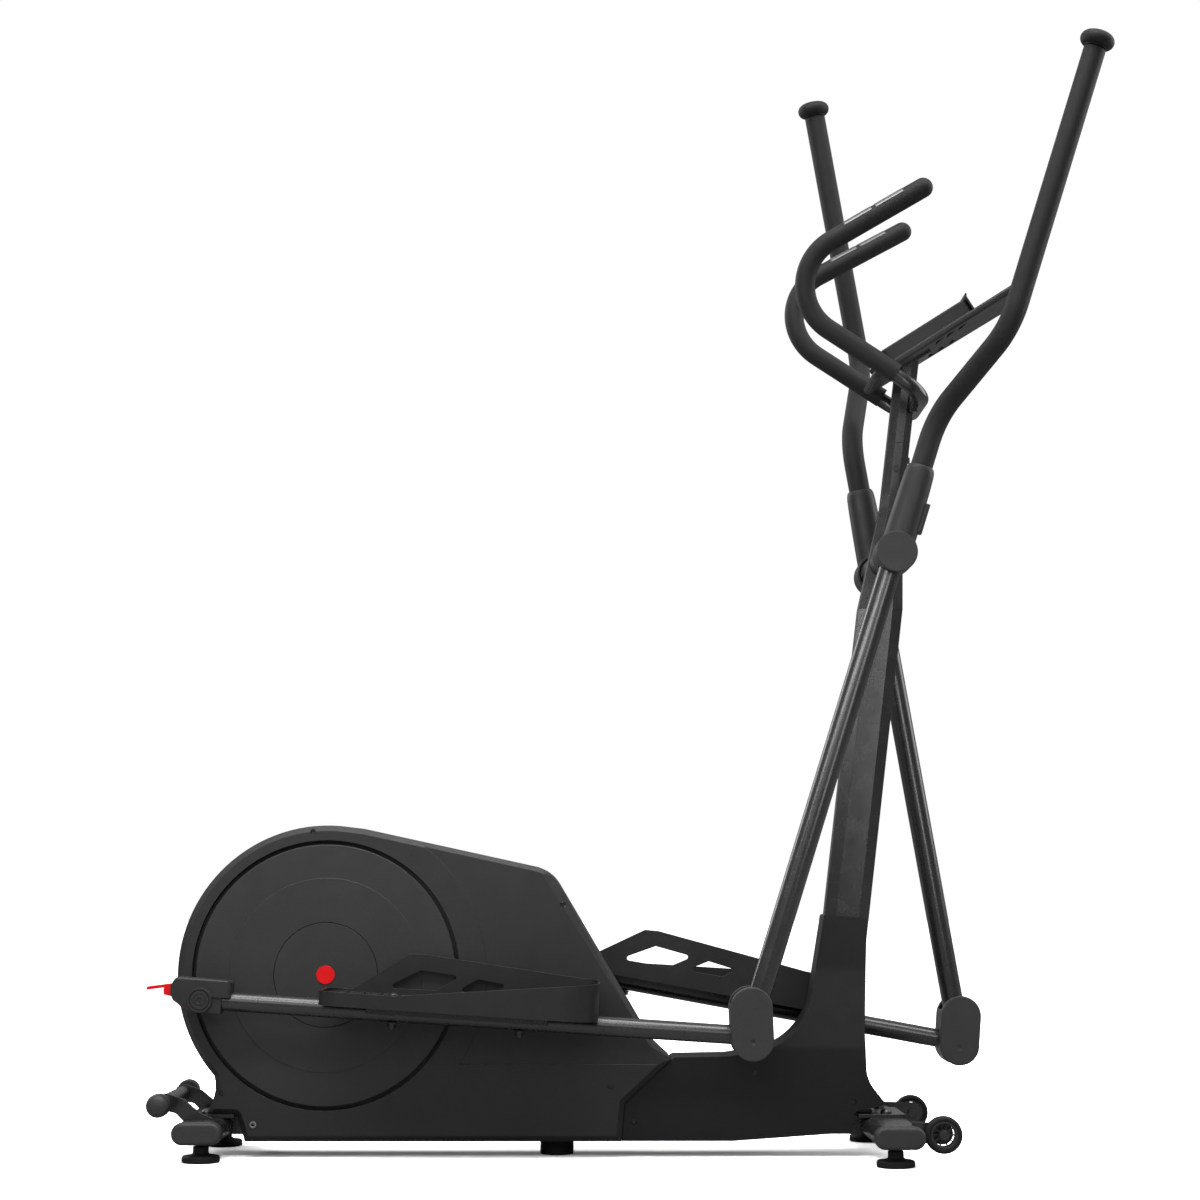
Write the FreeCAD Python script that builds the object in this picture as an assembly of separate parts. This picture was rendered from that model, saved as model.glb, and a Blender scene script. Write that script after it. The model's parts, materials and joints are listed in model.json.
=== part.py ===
import FreeCAD, Part
import math
import os

# Rear-drive elliptical trainer, millimetres.
# +X is forward (towards the console), +Z is up, the user's right-hand side is -Y.
# Every shape is built in the machine frame and moved by ORIGIN_X when it is written,
# so that the exported machine stands centred on the origin, on the floor plane Z = 0.

V = FreeCAD.Vector
ORIGIN_X = 70.68                # machine-frame X of the middle of the bounding box

# ---------------------------------------------------------------- linkage
PIVOT_X, PIVOT_Z = 499.0, 978.5     # swing axis of the hand levers, on the mast
CRANK_X, CRANK_Z = -431.0, 294.5    # crank axis
CRANK_R = 195.0                     # crank throw
CRANK_ANGLE = 191.0                 # direction of the right crank pin at rest, degrees
ARM_LENGTH = 881.5                  # crank pin to lower lever joint
LEVER_LENGTH = 796.0                # lever pivot to lower lever joint
JOINT_RISE = 20.0                   # lower joint above the pedal tube's axis
SIDE_Y = 143.0                      # middle plane of each lever and pedal arm
BIND = 0.05                         # radial clearance of a running fit

# ---------------------------------------------------------------- frame
TUBE_WALL = 2.0
BEAM_HALF_W = 25.0
BEAM_Z0, BEAM_Z1 = 34.0, 74.0
STAB_LENGTH_X, STAB_HEIGHT = 78.0, 33.0
STAB_CENTRE_Z = 47.5
FRONT_STAB_X, FRONT_STAB_HALF = 483.5, 226.0
REAR_STAB_X, REAR_STAB_HALF = -624.0, 150.0
STAB_CAP = 20.0
STAB_BOLT_Y = 52.0
FRONT_FOOT_X, FRONT_FOOT_Y = 480.0, 206.0
REAR_FOOT_X, REAR_FOOT_Y = -621.0, 131.0
FOOT_R = 30.5
CENTRE_FOOT_X, CENTRE_FOOT_R = -54.0, 27.5
WHEEL_X, WHEEL_Z, WHEEL_Y, WHEEL_R, WHEEL_W = 556.0, 49.7, 203.0, 29.5, 22.0
MAST_FOOT_X, MAST_FOOT_Z = 388.0, 74.3   # mast axis where it meets the beam
MAST_DEPTH, MAST_WIDTH = 74.0, 56.0
NECK_DEPTH, NECK_WIDTH = 38.0, 38.0
MAST_Z = (902.0, 1076.0, 1186.0)    # end of the wide part, end of the taper, top of the mast
POST_TOP_Z = 1352.0
PIVOT_TUBE_R, PIVOT_TUBE_HALF = 27.0, 108.0
AXLE_R, AXLE_HALF = 10.0, 173.0

# ---------------------------------------------------------------- casing
CASE_HALF_W = 75.0
SHROUD_HALF_W = 62.0
SKIN = 3.0
CASE_R = 243.0                      # round rear end of the casing
DISC_R, DISC_HOLE_R = 211.5, 218.5
DISC_Y0, DISC_Y1 = 66.0, 78.0
PAN_Y = 58.0                        # floor of the recess that the disc turns in
HUB_COVER_R = 84.0
PIN_BOSS_R, PIN_BOSS_END = 15.0, 88.0
BEVEL, FRONT_BEVEL = 9.0, 19.0      # bevel round the casing's side, and its width at the top front
STEP_R, STEP_Z, STEP_DEPTH = 262.0, 150.0, 1.5      # raised panel round the disc
INLET_X, INLET_Z, INLET_R = -546.0, 54.0, 5.4

# ---------------------------------------------------------------- drive
CRANK_AXLE_R = 12.5
PULLEY_R, PULLEY_Y0, PULLEY_Y1 = 130.0, 4.0, 20.0
FLY_X, FLY_Z, FLY_R, FLY_Y0, FLY_Y1 = -130.0, 248.0, 118.0, -38.0, -12.0
FLY_PULLEY_R, FLY_AXLE_R = 20.0, 6.0
BELT_T, BELT_GAP = 3.0, 0.4

# ---------------------------------------------------------------- levers and pedal arms
LEVER_R, LEVER_TUBE_R = 18.3, 14.0
LEVER_PATH = ((0.0, 0.0, 64.0), (0.0, 0.0, 240.0), (60.0, -132.0, 385.0), (60.0, -132.0, 872.0))
LEVER_BEND_R = 105.0
PEDAL_TUBE_R = 15.5
PEDAL_X0, PEDAL_X1 = 194.0, 636.0
PEDAL_Y0, PEDAL_Y1 = -240.0, -93.0
PEDAL_BOLTS_X = (307.0, 512.0)
COVER_R, COVER_HALF, COVER_TILT = 33.7, 24.8, -6.0
COVER_Y0, COVER_Y1 = -180.0, -108.0
LATCH_X, LATCH_Z = -36.0, 11.0      # axis of the red latch, seen from the crank pin

os.makedirs("parts", exist_ok=True)


# ================================================================ helpers
def box(x0, x1, y0, y1, z0, z1):
    return Part.makeBox(x1 - x0, y1 - y0, z1 - z0, V(x0, y0, z0))


def rod_y(x, z, r, y0, y1):
    return Part.makeCylinder(r, y1 - y0, V(x, y0, z), V(0, 1, 0))


def rod_z(x, y, r, z0, z1):
    return Part.makeCylinder(r, z1 - z0, V(x, y, z0), V(0, 0, 1))


def rod_x(y, z, r, x0, x1):
    return Part.makeCylinder(r, x1 - x0, V(x0, y, z), V(1, 0, 0))


def ring_y(x, z, r_out, r_in, y0, y1):
    return rod_y(x, z, r_out, y0, y1).cut(rod_y(x, z, r_in, y0 - 1, y1 + 1))


def corner(a, b, c, r):
    """Trim points and middle point of the arc that rounds corner b with radius r."""
    u = (a - b).normalize()
    w = (c - b).normalize()
    half = u.getAngle(w) / 2
    cut = r / math.tan(half)
    mid = (u + w).normalize()
    centre = b + mid * (r / math.sin(half))
    return b + u * cut, centre - mid * r, b + w * cut


def rounded_edges(points, radii, closed):
    """Lines and arcs through the points; radii gives one radius per point."""
    n = len(points)
    joints = []
    for i, (p, r) in enumerate(zip(points, radii)):
        if r > 0 and (closed or 0 < i < n - 1):
            joints.append(corner(V(points[i - 1]), V(p), V(points[(i + 1) % n]), r))
        else:
            joints.append((V(p), None, V(p)))
    edges = []
    for i in range(n if closed else n - 1):
        start, end = joints[i][2], joints[(i + 1) % n][0]
        if start.distanceToPoint(end) > 1e-6:
            edges.append(Part.makeLine(start, end))
        after = joints[(i + 1) % n]
        if after[1] is not None and (closed or i < n - 2):
            edges.append(Part.Arc(after[0], after[1], after[2]).toShape())
    return edges


def outline(points, radii, plane="xz", level=0.0):
    """Closed rounded wire in the XZ plane at Y = level, or in XY at Z = level."""
    place = {"xz": lambda a, b: V(a, level, b), "xy": lambda a, b: V(a, b, level),
             "yz": lambda a, b: V(level, a, b)}[plane]
    if not isinstance(radii, (list, tuple)):
        radii = [radii] * len(points)
    return Part.Wire(rounded_edges([place(a, b) for a, b in points], radii, True))


def prism(points, radii, y0, y1):
    """Rounded XZ outline extruded along Y from y0 to y1."""
    return Part.Face(outline(points, radii, "xz", y0)).extrude(V(0, y1 - y0, 0))


def slab(points, radii, z0, z1):
    return Part.Face(outline(points, radii, "xy", z0)).extrude(V(0, 0, z1 - z0))


def sweep(points, bend_r, r):
    """Round bar along a polyline with rounded corners."""
    path = Part.Wire(rounded_edges([V(p) for p in points], [bend_r] * len(points), False))
    start = V(points[0])
    direction = (V(points[1]) - start).normalize()
    profile = Part.Wire(Part.makeCircle(r, start, direction))
    return path.makePipeShell([profile], True, False)


def tube(points, bend_r, r, wall=TUBE_WALL):
    return sweep(points, bend_r, r).cut(sweep(points, bend_r, r - wall))


def revolve(profile, base, axis):
    """Solid of revolution; profile holds (radius, height) pairs along the axis."""
    face = Part.Face(Part.makePolygon([V(r, 0, h) for r, h in profile + profile[:1]]))
    solid = face.revolve(V(0, 0, 0), V(0, 0, 1), 360)
    turn = FreeCAD.Rotation(V(0, 0, 1), V(axis))
    solid.Placement = FreeCAD.Placement(V(base), turn).multiply(solid.Placement)
    return solid


def fuse(*shapes):
    return shapes[0].multiFuse(list(shapes[1:])).removeSplitter()


def cut(shape, *tools):
    return shape.cut(list(tools))


def group(shapes):
    return Part.makeCompound(shapes)


def hexagon(x, y, z0, z1, across):
    r = across / math.sqrt(3)
    corners = [(x + r * math.cos(math.radians(60 * i)), y + r * math.sin(math.radians(60 * i)))
               for i in range(6)]
    return slab(corners, 0, z0, z1)


def bolt_y(x, z, r_head, y_face, out, shank_r=3.0, shank=10.0):
    """Socket-head button screw whose head stands out of a face, towards out (+1 or -1)."""
    head_h = r_head * 0.55
    head = Part.makeCylinder(r_head, head_h, V(x, y_face, z), V(0, out, 0))
    socket = Part.makeCylinder(r_head * 0.45, head_h, V(x, y_face + out * head_h * 0.4, z),
                               V(0, out, 0))
    body = Part.makeCylinder(shank_r, shank, V(x, y_face - out * shank, z), V(0, out, 0))
    return fuse(head, body).cut(socket)


nodes = {}


def add(name, *shapes):
    """Give one or more finished solids to a node; every node is written at the end."""
    nodes.setdefault(name, []).extend(shapes)


# ================================================================ linkage solution
def pin_position(angle):
    a = math.radians(angle)
    return CRANK_X + CRANK_R * math.cos(a), CRANK_Z + CRANK_R * math.sin(a)


def lower_joint(pin):
    """Where the pedal arm meets the lever: the lower crossing of two circles."""
    dx, dz = PIVOT_X - pin[0], PIVOT_Z - pin[1]
    span = math.hypot(dx, dz)
    along = (ARM_LENGTH ** 2 - LEVER_LENGTH ** 2 + span ** 2) / (2 * span)
    off = math.sqrt(ARM_LENGTH ** 2 - along ** 2)
    return pin[0] + (along * dx + off * dz) / span, pin[1] + (along * dz - off * dx) / span


class Side:
    """One side's rest geometry: mirror, lever lean and pedal tube dip, in degrees."""

    def __init__(self, name, crank_angle, mirrored):
        self.name = name
        self.mirrored = mirrored
        self.pin = pin_position(crank_angle)
        self.joint = lower_joint(self.pin)
        line = math.degrees(math.atan2(self.pin[1] - self.joint[1], self.joint[0] - self.pin[0]))
        self.dip = line + math.degrees(math.asin(JOINT_RISE / ARM_LENGTH))
        self.lean = math.degrees(math.atan2(PIVOT_X - self.joint[0], PIVOT_Z - self.joint[1]))

    def on_side(self, shape):
        return shape.mirror(V(0, 0, 0), V(0, 1, 0)) if self.mirrored else shape.copy()

    def place(self, shape, angle, x, z):
        """Turn a right-hand part about Y and move it, mirrored for the left side."""
        s = self.on_side(shape)
        s.rotate(V(0, 0, 0), V(0, 1, 0), angle)
        s.translate(V(x, 0, z))
        return s

    def on_lever(self, shape):
        return self.place(shape, self.lean, PIVOT_X, PIVOT_Z)

    def on_arm(self, shape):
        return self.place(shape, self.dip, *self.pin)


SIDES = [Side("right", CRANK_ANGLE, False), Side("left", CRANK_ANGLE + 180.0, True)]


# ================================================================ mast and post
MAST_SLOPE = (PIVOT_X - MAST_FOOT_X) / (PIVOT_Z - MAST_FOOT_Z)


def mast_x(z):
    return MAST_FOOT_X + MAST_SLOPE * (z - MAST_FOOT_Z)


def octagon(z, depth, width, bevel):
    """Horizontal section of the mast: a rectangle with bevelled corners."""
    x = mast_x(z)
    a, b = depth / 2, width / 2
    pts = [(x - a, -b + bevel), (x - a + bevel * 1.6, -b), (x + a - bevel * 1.6, -b), (x + a, -b + bevel),
           (x + a, b - bevel), (x + a - bevel * 1.6, b), (x - a + bevel * 1.6, b), (x - a, b - bevel)]
    return Part.makePolygon([V(p, q, z) for p, q in pts + pts[:1]])


def mast_piece(z0, z1, size0, size1, shrink=0.0):
    wires = []
    for z, (depth, width) in ((z0, size0), (z1, size1)):
        bevel = 0.2 * min(depth, width)
        wires.append(octagon(z, depth - 2 * shrink, width - 2 * shrink, bevel))
    return Part.makeLoft(wires, True, True)


WIDE, NARROW = (MAST_DEPTH, MAST_WIDTH), (NECK_DEPTH, NECK_WIDTH)


def mast_bar(shrink):
    return fuse(mast_piece(BEAM_Z1, MAST_Z[0], WIDE, WIDE, shrink),
                mast_piece(MAST_Z[0], MAST_Z[1], WIDE, NARROW, shrink),
                mast_piece(MAST_Z[1], MAST_Z[2], NARROW, NARROW, shrink))


pivot_bore = rod_y(PIVOT_X, PIVOT_Z, PIVOT_TUBE_R, -PIVOT_TUBE_HALF, PIVOT_TUBE_HALF)
mast = cut(mast_bar(0.0), mast_bar(TUBE_WALL), pivot_bore)
mast_bolt_z = 1142.0
mast_bolts = []
for side_y in (-1, 1):
    face_y = side_y * NECK_WIDTH / 2
    mast_bolts.append(bolt_y(mast_x(mast_bolt_z), mast_bolt_z, 5.5, face_y, side_y, 3.0, 6.0))
front_bolt_z = 1158.0
front_bolt = bolt_y(0, 0, 5.5, 0, 1, 3.0, 6.0)
front_bolt.rotate(V(0, 0, 0), V(0, 0, 1), -90)
front_bolt.translate(V(mast_x(front_bolt_z + 5.5) + NECK_DEPTH / 2, 0, front_bolt_z))
mast_bolts.append(front_bolt)
bolt_holes = []
for side_y in (-1, 1):
    bolt_holes.append(rod_y(mast_x(mast_bolt_z), mast_bolt_z, 3.0, *sorted((0, side_y * 22))))
bolt_holes.append(Part.makeCylinder(3.0, 20, V(mast_x(front_bolt_z) + 8, 0, front_bolt_z), V(1, 0, 0)))
mast = cut(mast, *bolt_holes)

post = mast_piece(MAST_Z[2] + 0.5, POST_TOP_Z, NARROW, NARROW)
post_inside = mast_piece(MAST_Z[2] - 60, POST_TOP_Z - 60, NARROW, NARROW, 4.6)
spigot = mast_piece(MAST_Z[2] - 60, MAST_Z[2] + 0.5, NARROW, NARROW, TUBE_WALL + 0.3)
post = cut(fuse(post, spigot), post_inside, *bolt_holes)

pivot_tube = ring_y(PIVOT_X, PIVOT_Z, PIVOT_TUBE_R, PIVOT_TUBE_R - 4, -PIVOT_TUBE_HALF, PIVOT_TUBE_HALF)
bushes = [ring_y(PIVOT_X, PIVOT_Z, PIVOT_TUBE_R - 4, AXLE_R, y, y + 20)
          for y in (-PIVOT_TUBE_HALF, PIVOT_TUBE_HALF - 20)]
axle = rod_y(PIVOT_X, PIVOT_Z, AXLE_R, -AXLE_HALF, AXLE_HALF)

add("mast", mast)
add("frame_bolts", *mast_bolts)
add("pivot_tube", pivot_tube, *bushes, axle)


# ================================================================ base beam, stabilizers, feet
def stabilizer_profile(x, y, shrink=0.0):
    a, b, r = STAB_LENGTH_X / 2 - shrink, STAB_HEIGHT / 2 - shrink, STAB_HEIGHT / 2 - 0.5 - shrink
    z = STAB_CENTRE_Z
    pts = [(x - a, z - b), (x + a, z - b), (x + a, z + b), (x - a, z + b)]
    return Part.Face(outline(pts, r, "xz", y))


def stabilizer(x, half):
    outer = stabilizer_profile(x, -half).extrude(V(0, 2 * half, 0))
    inner = stabilizer_profile(x, -half, TUBE_WALL).extrude(V(0, 2 * half, 0))
    return outer.cut(inner)


def stabilizer_cap(x, half, side_y):
    """Moulded end cap with a plug that fits inside the tube."""
    skirt = stabilizer_profile(x, side_y * half, -1.2).extrude(V(0, side_y * STAB_CAP, 0))
    plug = stabilizer_profile(x, side_y * half, TUBE_WALL + 0.1).extrude(V(0, -side_y * 22, 0))
    end_edges = [e for e in skirt.Edges if abs(e.CenterOfMass.y - side_y * (half + STAB_CAP)) < 0.1]
    return fuse(skirt.makeFillet(6.0, end_edges), plug)


def levelling_foot(x, y, z_top):
    """Round pad with a coned collar and a threaded stem, screwed up into the stabilizer."""
    profile = [(0, 0), (FOOT_R - 2, 0), (FOOT_R, 2), (FOOT_R, 9), (FOOT_R - 2.5, 11.5), (15.5, 12.5),
               (12.5, 15), (12.5, 26), (6, 26), (6, z_top), (0, z_top)]
    return revolve(profile, (x, y, 0), (0, 0, 1))


beam_outer = box(REAR_STAB_X + 20, FRONT_STAB_X - 20, -BEAM_HALF_W, BEAM_HALF_W, BEAM_Z0, BEAM_Z1)
beam_inner = box(REAR_STAB_X + 19, FRONT_STAB_X - 19, -BEAM_HALF_W + 2.5, BEAM_HALF_W - 2.5,
                 BEAM_Z0 + 2.5, BEAM_Z1 - 2.5)
foot_hole = rod_z(CENTRE_FOOT_X, 0, 6.0, BEAM_Z0 - 1, BEAM_Z0 + 3)
beam_rooms = []
for x, half in ((FRONT_STAB_X, FRONT_STAB_HALF), (REAR_STAB_X, REAR_STAB_HALF)):
    beam_rooms.append(stabilizer_profile(x, -60).extrude(V(0, 120, 0)))
base_beam = cut(beam_outer, beam_inner, foot_hole, *beam_rooms)
add("base_beam", base_beam)

stabilizer_bolts = []
for name, x, half, foot_x, foot_y in (("front", FRONT_STAB_X, FRONT_STAB_HALF, FRONT_FOOT_X, FRONT_FOOT_Y),
                                      ("rear", REAR_STAB_X, REAR_STAB_HALF, REAR_FOOT_X, REAR_FOOT_Y)):
    body = stabilizer(x, half)
    stems = [rod_z(foot_x, side_y * foot_y, 6.0 + BIND, 20, 40) for side_y in (-1, 1)]
    top = STAB_CENTRE_Z + STAB_HEIGHT / 2
    for side_y in (-1, 1):
        stems.append(rod_z(x, side_y * STAB_BOLT_Y, 4.0, 40, 80))
        dome = revolve([(0, -8), (4, -8), (4, 2.5), (9.5, 2.5), (9, 6), (6, 9.5), (0, 11)],
                       (x, side_y * STAB_BOLT_Y, top + 3.0), (0, 0, 1))
        stabilizer_bolts.append(dome)
    add(name + "_stabilizer", cut(body, *stems))
    for side_y, side_name in ((-1, "right"), (1, "left")):
        cap = stabilizer_cap(x, half, side_y)
        cap = cut(cap, rod_z(foot_x, side_y * foot_y, 8.0, 20, 60))
        add("stabilizer_caps", cap)
        add(side_name + "_" + name + "_foot", levelling_foot(foot_x, side_y * foot_y, 52.0))

saddles = []
for x, dx in ((FRONT_STAB_X, 1), (REAR_STAB_X, -1)):
    top = STAB_CENTRE_Z + STAB_HEIGHT / 2
    back, toe = x - 46 * dx, x + 34 * dx
    plate = prism([(back, top), (toe, top), (toe - 4 * dx, top + 5.5), (back, top + 5.5)], [0, 0, 3, 0], -68, 68)
    room = box(*sorted((x - 60 * dx, x - 18 * dx)), -BEAM_HALF_W, BEAM_HALF_W, 60, 80)
    holes = [rod_z(x, side_y * STAB_BOLT_Y, 4.0, 60, 80) for side_y in (-1, 1)]
    saddles.append(cut(plate, room, *holes))
add("base_beam", *saddles)
add("frame_bolts", *stabilizer_bolts)
block_top, stud_top = BEAM_Z0 - 0.5, 50.0
foot_profile = [(0, 0), (CENTRE_FOOT_R - 1.5, 0), (CENTRE_FOOT_R, 2), (CENTRE_FOOT_R, block_top), (5.9, block_top),
                (5.9, stud_top), (0, stud_top)]
centre_foot = revolve(foot_profile, (CENTRE_FOOT_X, 0, 0), (0, 0, 1))
add("centre_foot", centre_foot)


# ================================================================ transport wheels and rear handle
def wheel_rim(side_y):
    """Ten-spoke rim with its hub and ball race, on the wheel's own axis."""
    rim = ring_y(0, 0, 21.0, 18.0, -WHEEL_W / 2 + 1, WHEEL_W / 2 - 1)
    hub = ring_y(0, 0, 8.0, 4.0 + BIND, -WHEEL_W / 2, WHEEL_W / 2)
    spokes = []
    for i in range(10):
        spoke = box(7.0, 18.8, -3.5, 3.5, -0.9, 0.9)
        spoke.rotate(V(0, 0, 0), V(0, 1, 0), 36 * i)
        spokes.append(spoke)
    return fuse(rim, hub, *spokes)


def wheel_tyre():
    half = WHEEL_W / 2
    profile = [(21, -half + 1), (25, -half), (28, -half * 0.72), (WHEEL_R, -half * 0.25),
               (WHEEL_R, half * 0.25), (28, half * 0.72), (25, half), (21, half - 1)]
    return revolve(profile, (0, 0, 0), (0, 1, 0))


for side_y, side_name in ((-1, "right"), (1, "left")):
    inner_face = WHEEL_Y - WHEEL_W / 2
    rim = wheel_rim(side_y)
    tyre = wheel_tyre()
    for shape in (rim, tyre):
        shape.translate(V(WHEEL_X, side_y * WHEEL_Y, WHEEL_Z))
    add(side_name + "_wheel", rim, tyre)
    plate_y = sorted((side_y * (inner_face - 5.5), side_y * (inner_face - 1.5)))
    back = FRONT_STAB_X + STAB_LENGTH_X / 2 - 14
    plate = prism([(back, WHEEL_Z - 13), (WHEEL_X + 17, WHEEL_Z - 17), (WHEEL_X + 17, WHEEL_Z + 17),
                   (back, WHEEL_Z + 19)], [0, 16.5, 16.5, 0], *plate_y)
    plate = cut(plate, stabilizer_profile(FRONT_STAB_X, -260).extrude(V(0, 520, 0)))
    plate = cut(plate, rod_y(WHEEL_X, WHEEL_Z, 4.0, -260, 260))
    add("wheel_brackets", plate)
    tip = side_y * (WHEEL_Y + WHEEL_W / 2 + 1.0)
    root = side_y * (inner_face - 12.0)
    pin = rod_y(WHEEL_X, WHEEL_Z, 4.0, *sorted((root, tip)))
    head = rod_y(WHEEL_X, WHEEL_Z, 7.0, *sorted((tip, tip + side_y * 3.5)))
    nut = rod_y(WHEEL_X, WHEEL_Z, 7.0, *sorted((root, root + side_y * 6.0)))
    add("wheel_axles", fuse(pin, head, nut))

HANDLE_X, HANDLE_Z, HANDLE_HALF, HANDLE_R = -686.7, 91.0, 172.0, 12.0
straps = []
for side_y in (-1, 1):
    strap_y = sorted((side_y * 92, side_y * 97))
    strap = prism([(-652, 58), (-607, 58), (-607, 66), (-628, 74), (-655, 96), (HANDLE_X + 3, HANDLE_Z + 15),
                   (HANDLE_X - 14, HANDLE_Z + 10), (HANDLE_X - 13, HANDLE_Z - 10), (-668, 74)],
                  [0, 0, 3, 14, 14, 8, 9, 9, 10], *strap_y)
    strap = cut(strap, stabilizer_profile(REAR_STAB_X, -200).extrude(V(0, 400, 0)))
    straps.append(cut(strap, rod_y(HANDLE_X, HANDLE_Z, HANDLE_R, -200, 200)))
handle_ends = [(HANDLE_X, y, HANDLE_Z) for y in (16 - HANDLE_HALF, HANDLE_HALF - 16)]
add("rear_handle", tube(handle_ends, 0, HANDLE_R), *straps)
balls = []
for side_y in (-1, 1):
    knob = revolve([(HANDLE_R, -18), (17.5, -18), (19, -14), (19, 3), (17, 9), (12, 13.5), (0, 15.5), (0, -1),
                    (HANDLE_R, -1)], (HANDLE_X, side_y * (HANDLE_HALF - 14), HANDLE_Z), (0, side_y, 0))
    balls.append(knob)
add("rear_handle_ends", *balls)


# ================================================================ casing
def case_arc(angle, r=CASE_R):
    a = math.radians(angle)
    return CRANK_X + r * math.cos(a), CRANK_Z + r * math.sin(a)


CASE_TOP_FRONT, CASE_SLANT_END = (-64.0, 465.0), (102.0, 186.0)
CASE_FRONT = [(-371.0, 532.0), CASE_TOP_FRONT, CASE_SLANT_END, (133.0, 158.0), (56.4, 87.4), (51.4, 26.4),
              (-560.0, 26.4), (-574.0, 70.0), (-621.0, 70.0), (-606.0, 112.0)]
CASE_FRONT_RADII = [10, 60, 60, 3, 0, 0, 0, 6, 4, 60]
SHROUD = [(51.9, 26.4), (232.0, 26.4), (426.0, 40.0), (434.0, 74.0), (484.0, 84.0), (452.0, 125.0),
          (450.0, 200.0), (458.0, 386.0), (387.0, 392.0), (352.0, 182.0), (225.0, 162.0), (139.0, 160.5),
          (134.2, 157.8), (57.4, 87.4)]
SHROUD_RADII = [0, 0, 0, 0, 4, 55, 80, 4, 4, 110, 90, 2, 0, 0]


def case_wire(y, shrink=0.0):
    """Casing outline: the round rear end and the straight top, front and bottom."""
    a0, a1 = 81.0, 222.0
    edges = rounded_edges([V(*case_arc(a0), 0)] + [V(x, z, 0) for x, z in CASE_FRONT] + [V(*case_arc(a1), 0)],
                          [0] + CASE_FRONT_RADII + [0], False)
    arc = Part.Arc(V(*case_arc(a1), 0), V(*case_arc((a0 + a1) / 2), 0), V(*case_arc(a0), 0)).toShape()
    wire = Part.Wire(edges + [arc])
    if shrink:
        wire = wire.makeOffset2D(-shrink)
    wire.rotate(V(0, 0, 0), V(1, 0, 0), 90)
    wire.translate(V(0, y, 0))
    return wire


def beam_room():
    """Way for the base beam through the casing's end walls."""
    half = BEAM_HALF_W + 1
    return box(REAR_STAB_X - 60, FRONT_STAB_X + 36, -half, half, BEAM_Z0 - 1, BEAM_Z1 + 1)


def case_body(shrink, y0, y1):
    return Part.Face(case_wire(y0, shrink)).extrude(V(0, y1 - y0, 0))


def beyond_front_bevel(depth):
    """Everything outside the wide bevel of the sloping front edge, which fades out downwards."""
    top, low = [V(x, 0, z) for x, z in (CASE_TOP_FRONT, CASE_SLANT_END)]
    along = (low - top).normalize()
    inward = V(along.z, 0, -along.x)
    first = top + V(0, BEVEL - CASE_HALF_W, 0)
    second = top + inward * FRONT_BEVEL - V(0, CASE_HALF_W, 0)
    third = low + inward * BEVEL - V(0, CASE_HALF_W, 0)
    normal = (second - first).cross(third - first).normalize()
    normal = normal if normal.y < 0 else normal * -1
    block = Part.makeBox(1600, 1600, 200, V(-800, -800, 0))
    block.Placement = FreeCAD.Placement(first - normal * depth, FreeCAD.Rotation(V(0, 0, 1), normal))
    return block


def case_half():
    """Right-hand half of the rear casing, bevelled round its side, with a raised panel by the disc."""
    shoulder = -CASE_HALF_W + BEVEL
    outer = case_body(0, shoulder, -0.25)
    edge = Part.makeLoft([case_wire(shoulder), case_wire(-CASE_HALF_W, BEVEL)], True, True)
    inner = case_body(SKIN, shoulder, 1.0).cut(beyond_front_bevel(SKIN))
    inner_wires = [case_wire(shoulder, SKIN), case_wire(-CASE_HALF_W + SKIN, BEVEL + 1.0)]
    inner_edge = Part.makeLoft(inner_wires, True, True).cut(beyond_front_bevel(SKIN))
    low_panel = box(CRANK_X, 300, -CASE_HALF_W - 1, STEP_DEPTH - CASE_HALF_W, STEP_Z, 700)
    low_panel = low_panel.cut(rod_y(CRANK_X, CRANK_Z, STEP_R, -CASE_HALF_W - 2, 0))
    recess = rod_y(CRANK_X, CRANK_Z, DISC_HOLE_R, -CASE_HALF_W - 1, -PAN_Y)
    pan = rod_y(CRANK_X, CRANK_Z, DISC_HOLE_R + 2.5, -CASE_HALF_W + 2.0, -PAN_Y + 2.5)
    axle_hole = rod_y(CRANK_X, CRANK_Z, 30.0, -CASE_HALF_W, 0)
    foot_hole = rod_z(CENTRE_FOOT_X, 0, CENTRE_FOOT_R + 1.0, 20, 32)
    body = cut(fuse(outer, edge), inner, inner_edge, beyond_front_bevel(0.0), low_panel)
    bolt_room = rod_z(REAR_STAB_X, -STAB_BOLT_Y, 11.0, 60, 90)
    return cut(fuse(body, pan), recess, axle_hole, foot_hole, beam_room(), bolt_room)


def shroud_side_profile(shrink):
    """Front view of the shroud: full width low down, narrowing up to the mast."""
    w, top = SHROUD_HALF_W - shrink, MAST_WIDTH / 2 + 8 - shrink
    pts = [(-w, 0), (w, 0), (w, 175), (top + 4, 300), (top, 420), (-top, 420), (-top - 4, 300), (-w, 175)]
    return Part.Face(outline(pts, [0, 0, 60, 80, 0, 0, 80, 60], "yz", -50)).extrude(V(700, 0, 0))


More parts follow.
